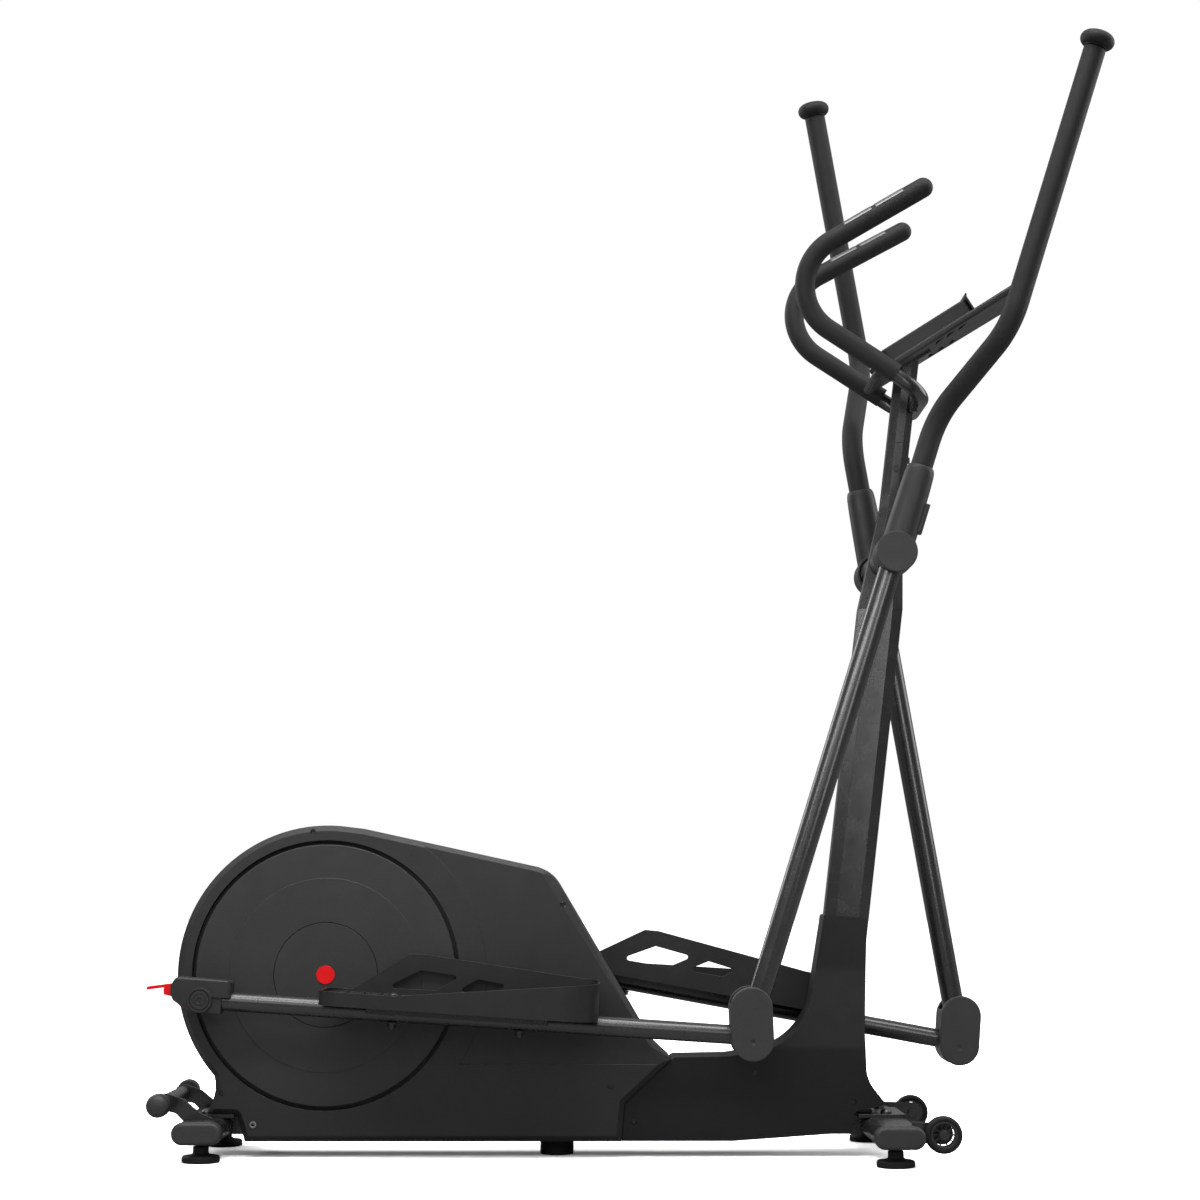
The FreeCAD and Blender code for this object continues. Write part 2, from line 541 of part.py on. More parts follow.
def shroud_half():
    solid = Part.Face(outline(SHROUD, SHROUD_RADII, "xz", -90)).extrude(V(0, 180, 0))
    flat = outline(SHROUD, SHROUD_RADII, "xy", 0)
    inset = flat.makeOffset2D(-SKIN)
    inset.rotate(V(0, 0, 0), V(1, 0, 0), 90)
    inset.translate(V(0, -90, 0))
    inner = Part.Face(inset).extrude(V(0, 180, 0)).common(shroud_side_profile(SKIN))
    shell = solid.common(shroud_side_profile(0)).cut(inner)
    mast_hole = mast_piece(BEAM_Z1, 420.0, WIDE, WIDE, -0.8)
    stab_hole = stabilizer_profile(FRONT_STAB_X, -90, -2.0).extrude(V(0, 180, 0))
    saddle_hole = box(430, 530, -70, 70, 60, 71)
    rear_casing_room = case_body(-0.6, -90, 90)
    shell = cut(shell, mast_hole, beam_room(), stab_hole, saddle_hole, rear_casing_room)
    return shell.common(box(0, 600, -100, -0.25, 0, 500))


rear_half = case_half()
front_half = shroud_half()
CASE_SCREWS = ((-455.0, 527.0), (-44.0, 408.0), (34.0, 114.0), (-597.5, 104.0))
SHROUD_SCREWS = ((72.0, 57.0), (271.0, 134.0), (430.0, 88.0))
SCREW_R, SCREW_DEPTH = 4.2, 11.0
cover_screw_places = [(x, z, CASE_HALF_W) for x, z in CASE_SCREWS]
cover_screw_places += [(x, z, SHROUD_HALF_W) for x, z in SHROUD_SCREWS]
screw_wells, screw_heads = [], []
for x, z, w in cover_screw_places:
    screw_wells.append(rod_y(x, z, SCREW_R + 0.4, -w - 2, -w + SCREW_DEPTH + 1))
for side_y, side_name in ((-1, "right"), (1, "left")):
    for name, half in (("casing", rear_half), ("shroud", front_half)):
        shell = cut(half, *screw_wells)
        if side_y > 0:
            shell = shell.mirror(V(0, 0, 0), V(0, 1, 0))
        if name == "casing" and side_y < 0:
            shell = shell.cut(rod_y(INLET_X, INLET_Z, INLET_R - 1.0, -CASE_HALF_W - 1, -40))
        add("rear_casing" if name == "casing" else "front_shroud", shell)
    for x, z, w in cover_screw_places:
        level = side_y * (w - SCREW_DEPTH)
        head = Part.makeCylinder(SCREW_R, 4.0, V(x, level, z), V(0, side_y, 0))
        slot = Part.makeCylinder(1.8, 3.0, V(x, level + side_y * 2.0, z), V(0, side_y, 0))
        screw_heads.append(head.cut(slot))
add("casing_screws", *screw_heads)
inlet = fuse(ring_y(INLET_X, INLET_Z, INLET_R, INLET_R - 2.4, -CASE_HALF_W - 1.4, -CASE_HALF_W - 0.1),
             ring_y(INLET_X, INLET_Z, INLET_R - 1.2, INLET_R - 2.4, -CASE_HALF_W - 1.0, -52),
             rod_y(INLET_X, INLET_Z, INLET_R - 1.2, -55, -50), rod_y(INLET_X, INLET_Z, 1.0, -66, -52))
add("power_inlet", inlet)


# ================================================================ crank, discs and drive
BEARING_Y0, BEARING_Y1, BEARING_R = 22.0, 34.0, 23.0
FLY_PLATE_Y0, FLY_PLATE_Y1 = 44.0, 50.0
bearings, bearing_blocks = [], []
for side_y in (-1, 1):
    y0, y1 = sorted((side_y * BEARING_Y0, side_y * BEARING_Y1))
    bearings.append(ring_y(CRANK_X, CRANK_Z, BEARING_R, CRANK_AXLE_R + BIND, y0, y1))
    block = prism([(CRANK_X - 34, BEAM_Z1), (CRANK_X + 34, BEAM_Z1), (CRANK_X + 30, CRANK_Z + 30),
                   (CRANK_X - 30, CRANK_Z + 30)], [0, 0, 24, 24], y0, y1)
    bearing_blocks.append(cut(block, rod_y(CRANK_X, CRANK_Z, BEARING_R, -60, 60)))
add("drive_supports", *bearings, *bearing_blocks)
fly_posts = []
for side_y in (-1, 1):
    y0, y1 = sorted((side_y * FLY_PLATE_Y0, side_y * FLY_PLATE_Y1))
    plate = prism([(FLY_X - 22, BEAM_Z1), (FLY_X + 22, BEAM_Z1), (FLY_X + 18, FLY_Z + 18),
                   (FLY_X - 18, FLY_Z + 18)], [0, 0, 12, 12], y0, y1)
    foot = box(FLY_X - 22, FLY_X + 22, *sorted((side_y * 20, side_y * FLY_PLATE_Y1)), BEAM_Z1, BEAM_Z1 + 4)
    fly_posts.append(fuse(plate, foot).cut(rod_y(FLY_X, FLY_Z, FLY_AXLE_R + BIND, -60, 60)))

crank_axle = rod_y(CRANK_X, CRANK_Z, CRANK_AXLE_R, -64.0, 64.0)
add("crank_shaft", crank_axle)
pulley = ring_y(CRANK_X, CRANK_Z, PULLEY_R, CRANK_AXLE_R, PULLEY_Y0, PULLEY_Y1)
for angle in range(0, 360, 60):
    a = math.radians(angle)
    pulley = pulley.cut(rod_y(CRANK_X + 78 * math.cos(a), CRANK_Z + 78 * math.sin(a), 24, 0, 30))
add("drive_pulley", pulley)
fly_rim = ring_y(FLY_X, FLY_Z, FLY_R, FLY_R - 30, FLY_Y0, FLY_Y1)
fly_web = ring_y(FLY_X, FLY_Z, FLY_R - 29, FLY_AXLE_R, (FLY_Y0 + FLY_Y1) / 2 - 4, (FLY_Y0 + FLY_Y1) / 2 + 4)
fly_hub = ring_y(FLY_X, FLY_Z, 18, FLY_AXLE_R, FLY_Y0, FLY_Y1)
add("flywheel", fuse(fly_rim, fly_web, fly_hub))
add("flywheel", rod_y(FLY_X, FLY_Z, FLY_AXLE_R, -51, 51))
add("flywheel", ring_y(FLY_X, FLY_Z, FLY_PULLEY_R, FLY_AXLE_R, PULLEY_Y0 - 2, PULLEY_Y1 + 2))


def belt_loop(extra):
    """Outline of the open belt drive round both pulleys, grown by extra."""
    dx, dz = FLY_X - CRANK_X, FLY_Z - CRANK_Z
    span = math.hypot(dx, dz)
    r0, r1 = PULLEY_R + extra, FLY_PULLEY_R + extra
    tilt = math.asin((r0 - r1) / span)
    head = math.atan2(dz, dx)
    tangents = []
    for sign in (1, -1):
        a = head + sign * (math.pi / 2 - tilt)
        n = V(math.cos(a), 0, math.sin(a))
        tangents.append((V(CRANK_X, 0, CRANK_Z) + n * r0, V(FLY_X, 0, FLY_Z) + n * r1))
    back = V(CRANK_X - r0 * math.cos(head), 0, CRANK_Z - r0 * math.sin(head))
    nose = V(FLY_X + r1 * math.cos(head), 0, FLY_Z + r1 * math.sin(head))
    (top_back, top_nose), (low_back, low_nose) = tangents
    edges = [Part.makeLine(top_back, top_nose), Part.Arc(top_nose, nose, low_nose).toShape(),
             Part.makeLine(low_nose, low_back), Part.Arc(low_back, back, top_back).toShape()]
    return Part.Face(Part.Wire(edges))


belt_ring = belt_loop(BELT_GAP + BELT_T).cut(belt_loop(BELT_GAP))
belt = belt_ring.extrude(V(0, PULLEY_Y1 - PULLEY_Y0 - 4, 0))
belt.translate(V(0, PULLEY_Y0 + 2, 0))
add("drive_belt", belt)

BRAKE_GAP, BRAKE_T = 5.0, 12.0      # air gap to the flywheel and thickness of the magnet shoe
BRAKE_FROM, BRAKE_TO, BRAKE_PIVOT = 28.0, 76.0, 74.0     # directions seen from the flywheel's centre
BRAKE_PIN_R = 4.0


def around_flywheel(angle, r):
    a = math.radians(angle)
    return FLY_X + r * math.cos(a), FLY_Z + r * math.sin(a)


BRAKE_X, BRAKE_Z = around_flywheel(BRAKE_PIVOT, FLY_R + BRAKE_GAP + BRAKE_T + 4.0)
brake_y0, brake_y1 = FLY_Y0 - 2.0, FLY_Y1 + 2.0
shoe_r = FLY_R + BRAKE_GAP
wedge_corners = [around_flywheel(a, 2 * FLY_R) for a in (BRAKE_FROM, BRAKE_PIVOT - 22, BRAKE_TO)]
wedge = prism([(FLY_X, FLY_Z)] + wedge_corners, 0, brake_y0, brake_y1)
carriage = ring_y(FLY_X, FLY_Z, shoe_r + BRAKE_T, shoe_r, brake_y0, brake_y1).common(wedge)
carriage = fuse(carriage, rod_y(BRAKE_X, BRAKE_Z, 9.0, brake_y0, brake_y1))
carriage = carriage.cut(rod_y(BRAKE_X, BRAKE_Z, BRAKE_PIN_R + BIND, -60, 0))
add("brake_magnets", carriage)
brake_post = prism([(FLY_X - 6, FLY_Z + 18), (FLY_X + 17, FLY_Z + 12), (BRAKE_X + 9, BRAKE_Z),
                    (BRAKE_X + 4, BRAKE_Z + 8), (BRAKE_X - 8, BRAKE_Z + 4)], 0, -FLY_PLATE_Y1, -FLY_PLATE_Y0)
brake_pin = rod_y(BRAKE_X, BRAKE_Z, BRAKE_PIN_R, -FLY_PLATE_Y0, brake_y1 + 1.0)
fly_posts[0] = fuse(fly_posts[0], brake_post.cut(rod_y(FLY_X, FLY_Z, 17.0, -60, 60)), brake_pin)
add("drive_supports", *fly_posts)


def crank_side(side):
    """Disc, hub cover, hidden crank arm and pin boss, for a right-hand pin at the crank angle."""
    px, pz = side.pin
    sy = 1 if side.mirrored else -1

    def y(a, b):
        return sorted((sy * a, sy * b))

    arm_dx, arm_dz = (px - CRANK_X) / CRANK_R, (pz - CRANK_Z) / CRANK_R
    hub = ring_y(CRANK_X, CRANK_Z, 24.0, CRANK_AXLE_R, *y(PAN_Y + 1.5, 64.0))
    bar = box(0, CRANK_R, *y(PAN_Y + 1.5, 64.0), -14, 14)
    bar = fuse(bar, rod_y(CRANK_R, 0, 17.0, *y(PAN_Y + 1.5, 64.0)))
    bar.rotate(V(0, 0, 0), V(0, 1, 0), -math.degrees(math.atan2(arm_dz, arm_dx)))
    bar.translate(V(CRANK_X, 0, CRANK_Z))
    bar = fuse(bar.cut(rod_y(CRANK_X, CRANK_Z, 23.9, -80, 80)), hub)
    pin = rod_y(px, pz, PIN_BOSS_R, *y(PAN_Y + 1.5, PIN_BOSS_END))
    bar = bar.cut(pin)
    disc = rod_y(CRANK_X, CRANK_Z, DISC_R, *y(DISC_Y0, DISC_Y1 - 2.5))
    rim = rod_y(CRANK_X, CRANK_Z, DISC_R - 1.0, *y(DISC_Y1 - 2.5, DISC_Y1 - 1.0))
    face = rod_y(CRANK_X, CRANK_Z, 157.0, *y(DISC_Y1 - 1.0, DISC_Y1))
    disc = fuse(disc, rim, face)
    disc = disc.cut(rod_y(CRANK_X, CRANK_Z, HUB_COVER_R + 1.2, *y(DISC_Y1 - 4.0, DISC_Y1 + 1)))
    hollow = ring_y(CRANK_X, CRANK_Z, DISC_R - 4.0, 34.0, *y(DISC_Y0 - 1, DISC_Y1 - 7.5))
    disc = disc.cut(hollow.cut(rod_y(px, pz, PIN_BOSS_R + 5.0, -100, 100)))
    disc = disc.cut(rod_y(px, pz, PIN_BOSS_R, -100, 100))
    cover = rod_y(CRANK_X, CRANK_Z, HUB_COVER_R, *y(DISC_Y1 - 4.0, DISC_Y1 + 0.5))
    badge_room = rod_y(CRANK_X, CRANK_Z, 15.0, *y(DISC_Y1 - 1.0, DISC_Y1 + 2))
    badge = rod_y(CRANK_X, CRANK_Z, 15.0, *y(DISC_Y1 - 1.0, DISC_Y1 + 1.8))
    add("crank_shaft", bar, pin)
    add("crank_discs", disc)
    add("hub_covers", cover.cut(badge_room))
    add("hub_badges", badge)


for side in SIDES:
    crank_side(side)


# ================================================================ levers
def lever_parts():
    """Right-hand lever in its own frame: origin on the swing axis, +Z up along the lever."""
    y = -SIDE_Y
    foot_z = -LEVER_LENGTH
    pole = Part.makeCylinder(LEVER_R, LEVER_LENGTH - 12 - 24, V(0, y, foot_z + 12), V(0, 0, 1))
    bore = Part.makeCylinder(LEVER_R - TUBE_WALL, LEVER_LENGTH, V(0, y, foot_z + 12), V(0, 0, 1))
    foot = rod_y(0, foot_z, 19.0, y - 20.5, y + 20.5)
    hub = rod_y(0, 0, 28.0, y - 24.0, y + 30.0)
    stub = rod_z(0, y, LEVER_TUBE_R - TUBE_WALL - 0.1, 20, 140)
    hollow = bore.cut(rod_y(0, foot_z, 19.0, y - 30, y + 30)).cut(rod_y(0, 0, 28.0, y - 40, y + 40))
    hollow = hollow.common(box(-40, 40, y - 40, y + 40, foot_z, -20))
    lever = fuse(pole, foot, hub, stub)
    lever = cut(lever, hollow, rod_y(0, foot_z, 8.0 + BIND, -220, 0), rod_y(0, 0, AXLE_R + BIND, -220, 0))
    path = [(x, y + dy, z) for x, dy, z in LEVER_PATH]
    arm = tube(path, LEVER_BEND_R, LEVER_TUBE_R)
    foam_path = [(0, y, 148.0)] + path[1:-1] + [(path[-1][0], path[-1][1], 868.0)]
    foam = sweep(foam_path, LEVER_BEND_R, LEVER_R).cut(sweep(path, LEVER_BEND_R, LEVER_TUBE_R))
    top = V(*path[-1])
    plug_r = LEVER_TUBE_R - TUBE_WALL - 0.1
    knob = revolve([(0, -4), (plug_r, -30), (plug_r, 0), (LEVER_R, 0), (23, 1.5), (26.5, 5), (28.3, 11),
                    (27, 17.5), (23, 22.5), (16, 25), (8, 25.6), (0, 25.6)], (top.x, top.y, top.z), (0, 0, 1))
    sleeve = revolve([(0, 0), (26.8, 0), (26.6, 40), (26.1, 80), (25.3, 115), (24.4, 138), (23.5, 145),
                      (21.9, 150), (20.0, 152), (0, 152)], (0, y, 0), (0, 0, 1))
    barrel = rod_y(0, 0, 33.5, COVER_Y0 + 5, y + 31)
    lug = slab([(15, y - 11), (32, y - 11), (32, y + 11), (15, y + 11)], [0, 4, 4, 0], 44, 94)
    boot = fuse(sleeve, barrel, lug)
    room = revolve([(0, 0), (22.3, 0), (22.3, 108), (18.8, 140), (18.8, 160), (0, 160)], (0, y, 0), (0, 0, 1))
    barrel_room = rod_y(0, 0, 30.0, COVER_Y0, y + 40)
    pole_way = Part.makeCylinder(LEVER_R + 1.5, 80, V(0, y, -80), V(0, 0, 1))
    boot = cut(boot, room, barrel_room, pole_way)
    cap = rod_y(0, 0, 33.5, COVER_Y0, COVER_Y0 + 4.9)
    cap = fuse(cap, ring_y(0, 0, 29.8, 26.0, COVER_Y0 + 4.9, COVER_Y0 + 11))
    rim = [e for e in cap.Edges if abs(e.CenterOfMass.y - COVER_Y0) < 0.1]
    cap = cap.makeFillet(1.2, rim)
    return {"lever": [lever, arm], "lever_grip": [foam], "lever_knob": [knob], "lever_boot": [boot, cap]}


# ================================================================ pedal arms
def pedal_rim(points, y0, y1):
    """Everything above a rim line, between two side planes."""
    return prism(points + [(PEDAL_X1 + 20, 140), (PEDAL_X0 - 20, 140)], 0, y0, y1)


def pedal_solid():
    plan = [(PEDAL_X0, PEDAL_Y0), (PEDAL_X1, PEDAL_Y0), (PEDAL_X1, PEDAL_Y1), (PEDAL_X0, PEDAL_Y1)]
    shell = slab(plan, [34, 60, 26, 30], 8.0, 110.0)
    wall = 4.0
    inside = [(PEDAL_X0 + wall, PEDAL_Y0 + wall), (PEDAL_X1 - wall, PEDAL_Y0 + wall),
              (PEDAL_X1 - wall, PEDAL_Y1 - wall), (PEDAL_X0 + wall, PEDAL_Y1 - wall)]
    well = slab(inside, [30, 56, 22, 26], 26.0, 120.0)
    under = slab(inside, [30, 56, 22, 26], 0.0, 19.0)
    split = PEDAL_Y1 - 22
    outer_rim = [(PEDAL_X0 - 20, 31), (312, 30), (PEDAL_X1 + 20, 71)]
    inner_rim = [(PEDAL_X0 - 20, 31), (236, 31), (322, 92), (345, 94), (604, 72), (PEDAL_X1 + 20, 70)]
    shell = cut(shell, well, under, pedal_rim(outer_rim, PEDAL_Y0 - 5, split))
    shell = cut(shell, pedal_rim(inner_rim, split, PEDAL_Y1 + 5))
    windows = [prism([(289, 36), (372, 37), (410, 62), (345, 68)], 4, PEDAL_Y1 - 10, PEDAL_Y1 + 5),
               prism([(403, 37), (466, 38), (487, 53), (438, 59)], 4, PEDAL_Y1 - 10, PEDAL_Y1 + 5)]
    holes = [rod_z(x, -SIDE_Y, 4.0, 0, 40) for x in PEDAL_BOLTS_X]
    saddle_room = box(258, 562, -SIDE_Y - 30, -SIDE_Y + 30, 0, 18.9)
    tube_room = rod_x(-SIDE_Y, 0, PEDAL_TUBE_R + 0.6, 100, 700)
    ribs, x = [], PEDAL_X0 + 30
    while x < PEDAL_X1 - 50:
        ribs.append(box(x, x + 8, PEDAL_Y0 + 22, PEDAL_Y1 - 20, 25.5, 28.0))
        x += 28
    bolt_seats = [rod_z(x, -SIDE_Y, 10.0, 26.0, 40) for x in PEDAL_BOLTS_X]
    return cut(fuse(shell, *ribs), saddle_room, tube_room, *windows, *holes, *bolt_seats)


def cover_outline(shrink):
    r = COVER_R - shrink
    a = COVER_HALF
    return [(-r, -a - r), (r, -a - r), (r, a + r), (-r, a + r)], r - 0.01


def cover_shell(y0, y1, open_end):
    """Half of the lower joint cover: a stadium shell, open towards the other half."""
    pts, r = cover_outline(0)
    inner_pts, inner_r = cover_outline(2.5)
    outer = prism(pts, r, y0, y1)
    if open_end > 0:
        hollow = prism(inner_pts, inner_r, y0 + 2.5, y1 + 1)
        face_y = y0
    else:
        hollow = prism(inner_pts, inner_r, y0 - 1, y1 - 2.5)
        face_y = y1
    edges = [e for e in outer.Edges if abs(e.CenterOfMass.y - face_y) < 0.1]
    outer = outer.makeFillet(2.2, edges)
    shell = outer.cut(hollow)
    shell.rotate(V(0, 0, 0), V(0, 1, 0), COVER_TILT)
    return shell


def arm_parts():
    """Right-hand pedal arm in its own frame: origin on the crank pin axis, +X along the tube."""
    y = -SIDE_Y
    jx, jz = math.sqrt(ARM_LENGTH ** 2 - JOINT_RISE ** 2), JOINT_RISE
    bolt_ways = [rod_z(x, y, 4.0, -40, 60) for x in PEDAL_BOLTS_X]
    tube_x0, tube_x1 = 20.0, jx - 26.0
    bar = rod_x(y, 0, PEDAL_TUBE_R, tube_x0, tube_x1)
    bar = cut(bar, rod_x(y, 0, PEDAL_TUBE_R - TUBE_WALL, tube_x0, tube_x1), *bolt_ways)

    hood_w = 22.0
    hood = prism([(-47.5, 7), (-42, -3), (-30, -10), (-14, -19), (12, -19), (12, 6), (48.5, 6), (48.5, 33),
                  (-40, 34.5), (-48, 21)], [5, 5, 8, 6, 0, 0, 2, 5, 8, 8], y - hood_w, y + hood_w)
    sides = (y - hood_w, y + hood_w)
    plan = slab([(-60, sides[0]), (48.5, sides[0]), (48.5, sides[1]), (-60, sides[1])], [0, 8, 8, 0], -40, 60)
    section = [(sides[0], -40), (sides[1], -40), (sides[1], 34.5), (sides[0], 34.5)]
    round_top = Part.Face(outline(section, [0, 0, 4, 4], "yz", -60)).extrude(V(120, 0, 0))
    hood = hood.common(plan).common(round_top)
    block = box(10, 34, y - 19, y + 19, -19, 8.0)
    housing = fuse(hood, block, rod_y(0, 0, 19.5, y - 25.0, y + hood_w), rod_y(0, 0, 16.0, y + hood_w, -90.0))
    tube_way = rod_x(y, 0, PEDAL_TUBE_R, tube_x0, tube_x0 + 60)
    latch_way = prism([(-64, -22), (-22, -22), (-22, 12), (-26, 26), (-64, 33)], 0, y - 9, y + 9)
    bore, race_seat = rod_y(0, 0, 10.0, y - 23.5, -80), rod_y(0, 0, 12.5, y - 26, y - 23.0)
    housing = cut(housing, tube_way, latch_way, bore, race_seat, ring_y(0, 0, 16.6, 14.6, y - 26, y - 22.6))
    latch_pin = rod_y(LATCH_X, LATCH_Z, 3.0, y - 15, y + 15)
    housing = housing.cut(latch_pin)
    sleeve = rod_y(0, 0, 10.0, y - 22.9, -89.0)
    race = fuse(ring_y(0, 0, 12.4, 10.4, y - 25.0, y - 23.1), ring_y(0, 0, 10.4, 8.4, y - 23.9, y - 23.1),
                ring_y(0, 0, 8.4, 4.4, y - 24.8, y - 23.1), rod_y(0, 0, 4.4, y - 23.4, y - 23.1))

    latch = prism([(-88, 10.2), (-60.5, 15.6), (-61.5, 12), (-60, 4.5), (-44, 2), (-39, -6.5), (-31, -13.5),
                   (-25, -13), (-27, -4), (-29, 12), (-36, 20), (-52, 22.4), (-88, 15.4)], 0, y - 7, y + 7)
    latch = latch.cut(rod_y(LATCH_X, LATCH_Z, 3.0 + BIND, y - 20, y + 20))

    saddle = slab([(265, y - 26), (556, y - 26), (556, y + 26), (265, y + 26)], 5, -4.0, 18.9)
    saddle_hollow = box(260, 562, y - 22.5, y - PEDAL_TUBE_R - 2, -10, 15.4)
    saddle_hollow_2 = box(260, 562, y + PEDAL_TUBE_R + 2, y + 22.5, -10, 15.4)
    saddle = cut(saddle, saddle_hollow, saddle_hollow_2, rod_x(y, 0, PEDAL_TUBE_R, 250, 650), *bolt_ways)

    bolts = []
    for x in PEDAL_BOLTS_X:
        shank = rod_z(x, y, 4.0, -27, 26.0)
        head = revolve([(0, 26), (9, 26), (8, 29), (5, 31), (0, 31.5)], (x, y, 0), (0, 0, 1))
        washer = rod_z(x, y, 8.5, -17.5, -16.0)
        bolts.append(fuse(shank, head, washer, hexagon(x, y, -23.5, -17.5, 12.0)))

    ear = [(tube_x1, -15.5), (jx - 8, -16), (jx + 18, jz - 16), (jx + 18, jz + 18), (jx - 18, jz + 18),
           (tube_x1, 12)]
    ears = [prism(ear, [2, 10, 10, 17.5, 17.5, 4], y0, y0 + 7.0) for y0 in (y - 30.0, y + 23.0)]
    fork_root = box(tube_x1, tube_x1 + 6, y - 23, y + 23, -15.5, 15.5)
    joint_fork = fuse(fork_root, *ears).cut(rod_y(jx, jz, 8.0, -220, 0))
    joint_bolt = fuse(rod_y(jx, jz, 8.0, y - 31.0, y + 31.0), rod_y(jx, jz, 12.5, y - 33.9, y - 30.1),
                      rod_y(jx, jz, 12.5, y + 30.1, y + 31.9))

    swing_way = prism([(-24, 0), (24, 0), (60, 120), (-72, 120)], 0, y - 20.8, y + 20.8)
    tube_hole = rod_x(y, -jz, PEDAL_TUBE_R + 1.0, -70, -10)
    shells, cover_screws = [], []
    screw_x, screw_z = 28 * math.sin(math.radians(-COVER_TILT)), -28 * math.cos(math.radians(COVER_TILT))
    for y0, y1, opening in ((COVER_Y0, y - 0.3, 1), (y + 0.3, COVER_Y1, -1)):
        shell = cut(cover_shell(y0, y1, opening), swing_way, tube_hole)
        face = y0 if opening > 0 else y1
        shell = shell.cut(rod_y(screw_x, screw_z, 4.5, *sorted((face - opening, face + opening * 2.7))))
        shell.translate(V(jx, 0, jz))
        shells.append(shell)
        head = rod_y(screw_x + jx, screw_z + jz, 4.4, *sorted((face + opening * 0.6, face + opening * 2.6)))
        slot = rod_y(screw_x + jx, screw_z + jz, 2.2, *sorted((face, face + opening * 1.6)))
        cover_screws.append(head.cut(slot))
    return {"pedal_arm": [bar, saddle, joint_fork, joint_bolt] + bolts,
            "arm_housing": [housing, sleeve, race, latch_pin], "latch": [latch], "pedal": [pedal_solid()],
            "joint_cover": shells + cover_screws}


levers = lever_parts()
arms = arm_parts()
for side in SIDES:
    for name, shapes in levers.items():
        add(side.name + "_" + name, *[side.on_lever(s) for s in shapes])
    for name, shapes in arms.items():
        add(side.name + "_" + name, *[side.on_arm(s) for s in shapes])


# ================================================================ fixed handlebar with pulse plates
BAR_R, BAR_GRIP_R = 12.7, 16.8
BAR_TIP, BAR_CORNER = V(554.5, -141.0, 1594.8), V(280.0, -108.0, 1440.0)
BAR_CROSS_Z = 1252.0
BAR_CROSS_X = mast_x(BAR_CROSS_Z) + NECK_DEPTH / 2 + BAR_R - 7.0     # let into the post's front face
GRIP_FOOT = V(510.8, -106.0, 1287.0)
BAR_BENDS = (0, 87.0, 52.0, 52.0, 87.0, 0)
PLATES = ((32.0, 84.0), (92.0, 144.0))      # distance of each pulse plate from the grip's end
PLATE_BASE = 9.5                            # height of the plates' long edges over the grip's axis


def mirrored(point):
    return V(point.x, -point.y, point.z)


def bar_sweep(points, radii, r):
    path = Part.Wire(rounded_edges(points, radii, False))
    direction = (points[1] - points[0]).normalize()
    return path.makePipeShell([Part.Wire(Part.makeCircle(r, points[0], direction))], True, False)


cross_end = V(BAR_CROSS_X, GRIP_FOOT.y, BAR_CROSS_Z)
bar_path = [BAR_TIP, BAR_CORNER, cross_end, mirrored(cross_end), mirrored(BAR_CORNER), mirrored(BAR_TIP)]
handlebar = bar_sweep(bar_path, BAR_BENDS, BAR_R).cut(bar_sweep(bar_path, BAR_BENDS, BAR_R - TUBE_WALL))
weld = box(BAR_CROSS_X - 15, BAR_CROSS_X - 2, -26, 26, BAR_CROSS_Z - 14, BAR_CROSS_Z + 14)
post_room = mast_piece(MAST_Z[2] + 1, POST_TOP_Z, NARROW, NARROW, -0.05)
bar_room = rod_y(BAR_CROSS_X, BAR_CROSS_Z, BAR_R, -60, 60)
handlebar = cut(handlebar, post_room)
add("fixed_handlebar", handlebar, cut(weld, post_room, bar_room))

inward = (BAR_CORNER - BAR_TIP).normalize()
grip_path = [BAR_TIP, BAR_CORNER, GRIP_FOOT]
grip = bar_sweep(grip_path, (0, 87.0, 0), BAR_GRIP_R).cut(bar_sweep(bar_path, BAR_BENDS, BAR_R))
end_cap = Part.makeSphere(BAR_GRIP_R, BAR_TIP)
end_cap = end_cap.cut(Part.makeCylinder(60, 60, BAR_TIP, inward))
grip = grip.fuse(end_cap).removeSplitter()
plates = []
upward = inward.cross(V(0, 1, 0)).normalize()
upward = upward if upward.z > 0 else upward * -1
half_space = Part.makeBox(400, 80, 40, V(-200, -40, PLATE_BASE))
half_space.Placement = FreeCAD.Placement(BAR_TIP, FreeCAD.Rotation(V(0, 0, 1), upward))
for near, far in PLATES:
    sleeve = Part.makeCylinder(BAR_GRIP_R + 0.6, far - near, BAR_TIP + inward * near, inward)
    core = Part.makeCylinder(BAR_GRIP_R - 1.4, far - near, BAR_TIP + inward * near, inward)
    plates.append(sleeve.cut(core).common(half_space))
grip = cut(grip, *plates)
for shape in [grip] + plates:
    name = "handlebar_grips" if shape is grip else "pulse_plates"
    add(name, shape, shape.mirror(V(0, 0, 0), V(0, 1, 0)))


# ================================================================ console
CONSOLE_ANGLE = 32.0
CONSOLE_X, CONSOLE_Z = 484.3, 1328.6        # lower front corner of the raised display panel
CONSOLE_HALF_W0, CONSOLE_HALF_W1 = 82.0, 104.0      # half widths at the lower and upper end
PANEL_LENGTH, PANEL_H = 172.0, 23.0
SLAB_X0, SLAB_X1, SLAB_T = -28.0, 282.0, 12.0
KEY_R = 9.0
KEY_PLACES = ((24.0, -57.0), (24.0, -19.0), (24.0, 19.0), (24.0, 57.0))


def on_console(shape):
    """Console frame (X up the slope, Z out of the display) to the machine frame."""
    s = shape.copy()
    s.rotate(V(0, 0, 0), V(0, 1, 0), -CONSOLE_ANGLE)
    s.translate(V(CONSOLE_X, 0, CONSOLE_Z))
    return s


def half_width(u):
    """Half width of the console at a distance up the slope: it widens upwards."""
    return CONSOLE_HALF_W0 + (CONSOLE_HALF_W1 - CONSOLE_HALF_W0) * (u - SLAB_X0) / (SLAB_X1 - SLAB_X0)


def console_slab(u0, u1, inset, r, z0, z1):
    a, b = half_width(u0) - inset, half_width(u1) - inset
    return slab([(u0, -a), (u1, -b), (u1, b), (u0, a)], r, z0, z1)


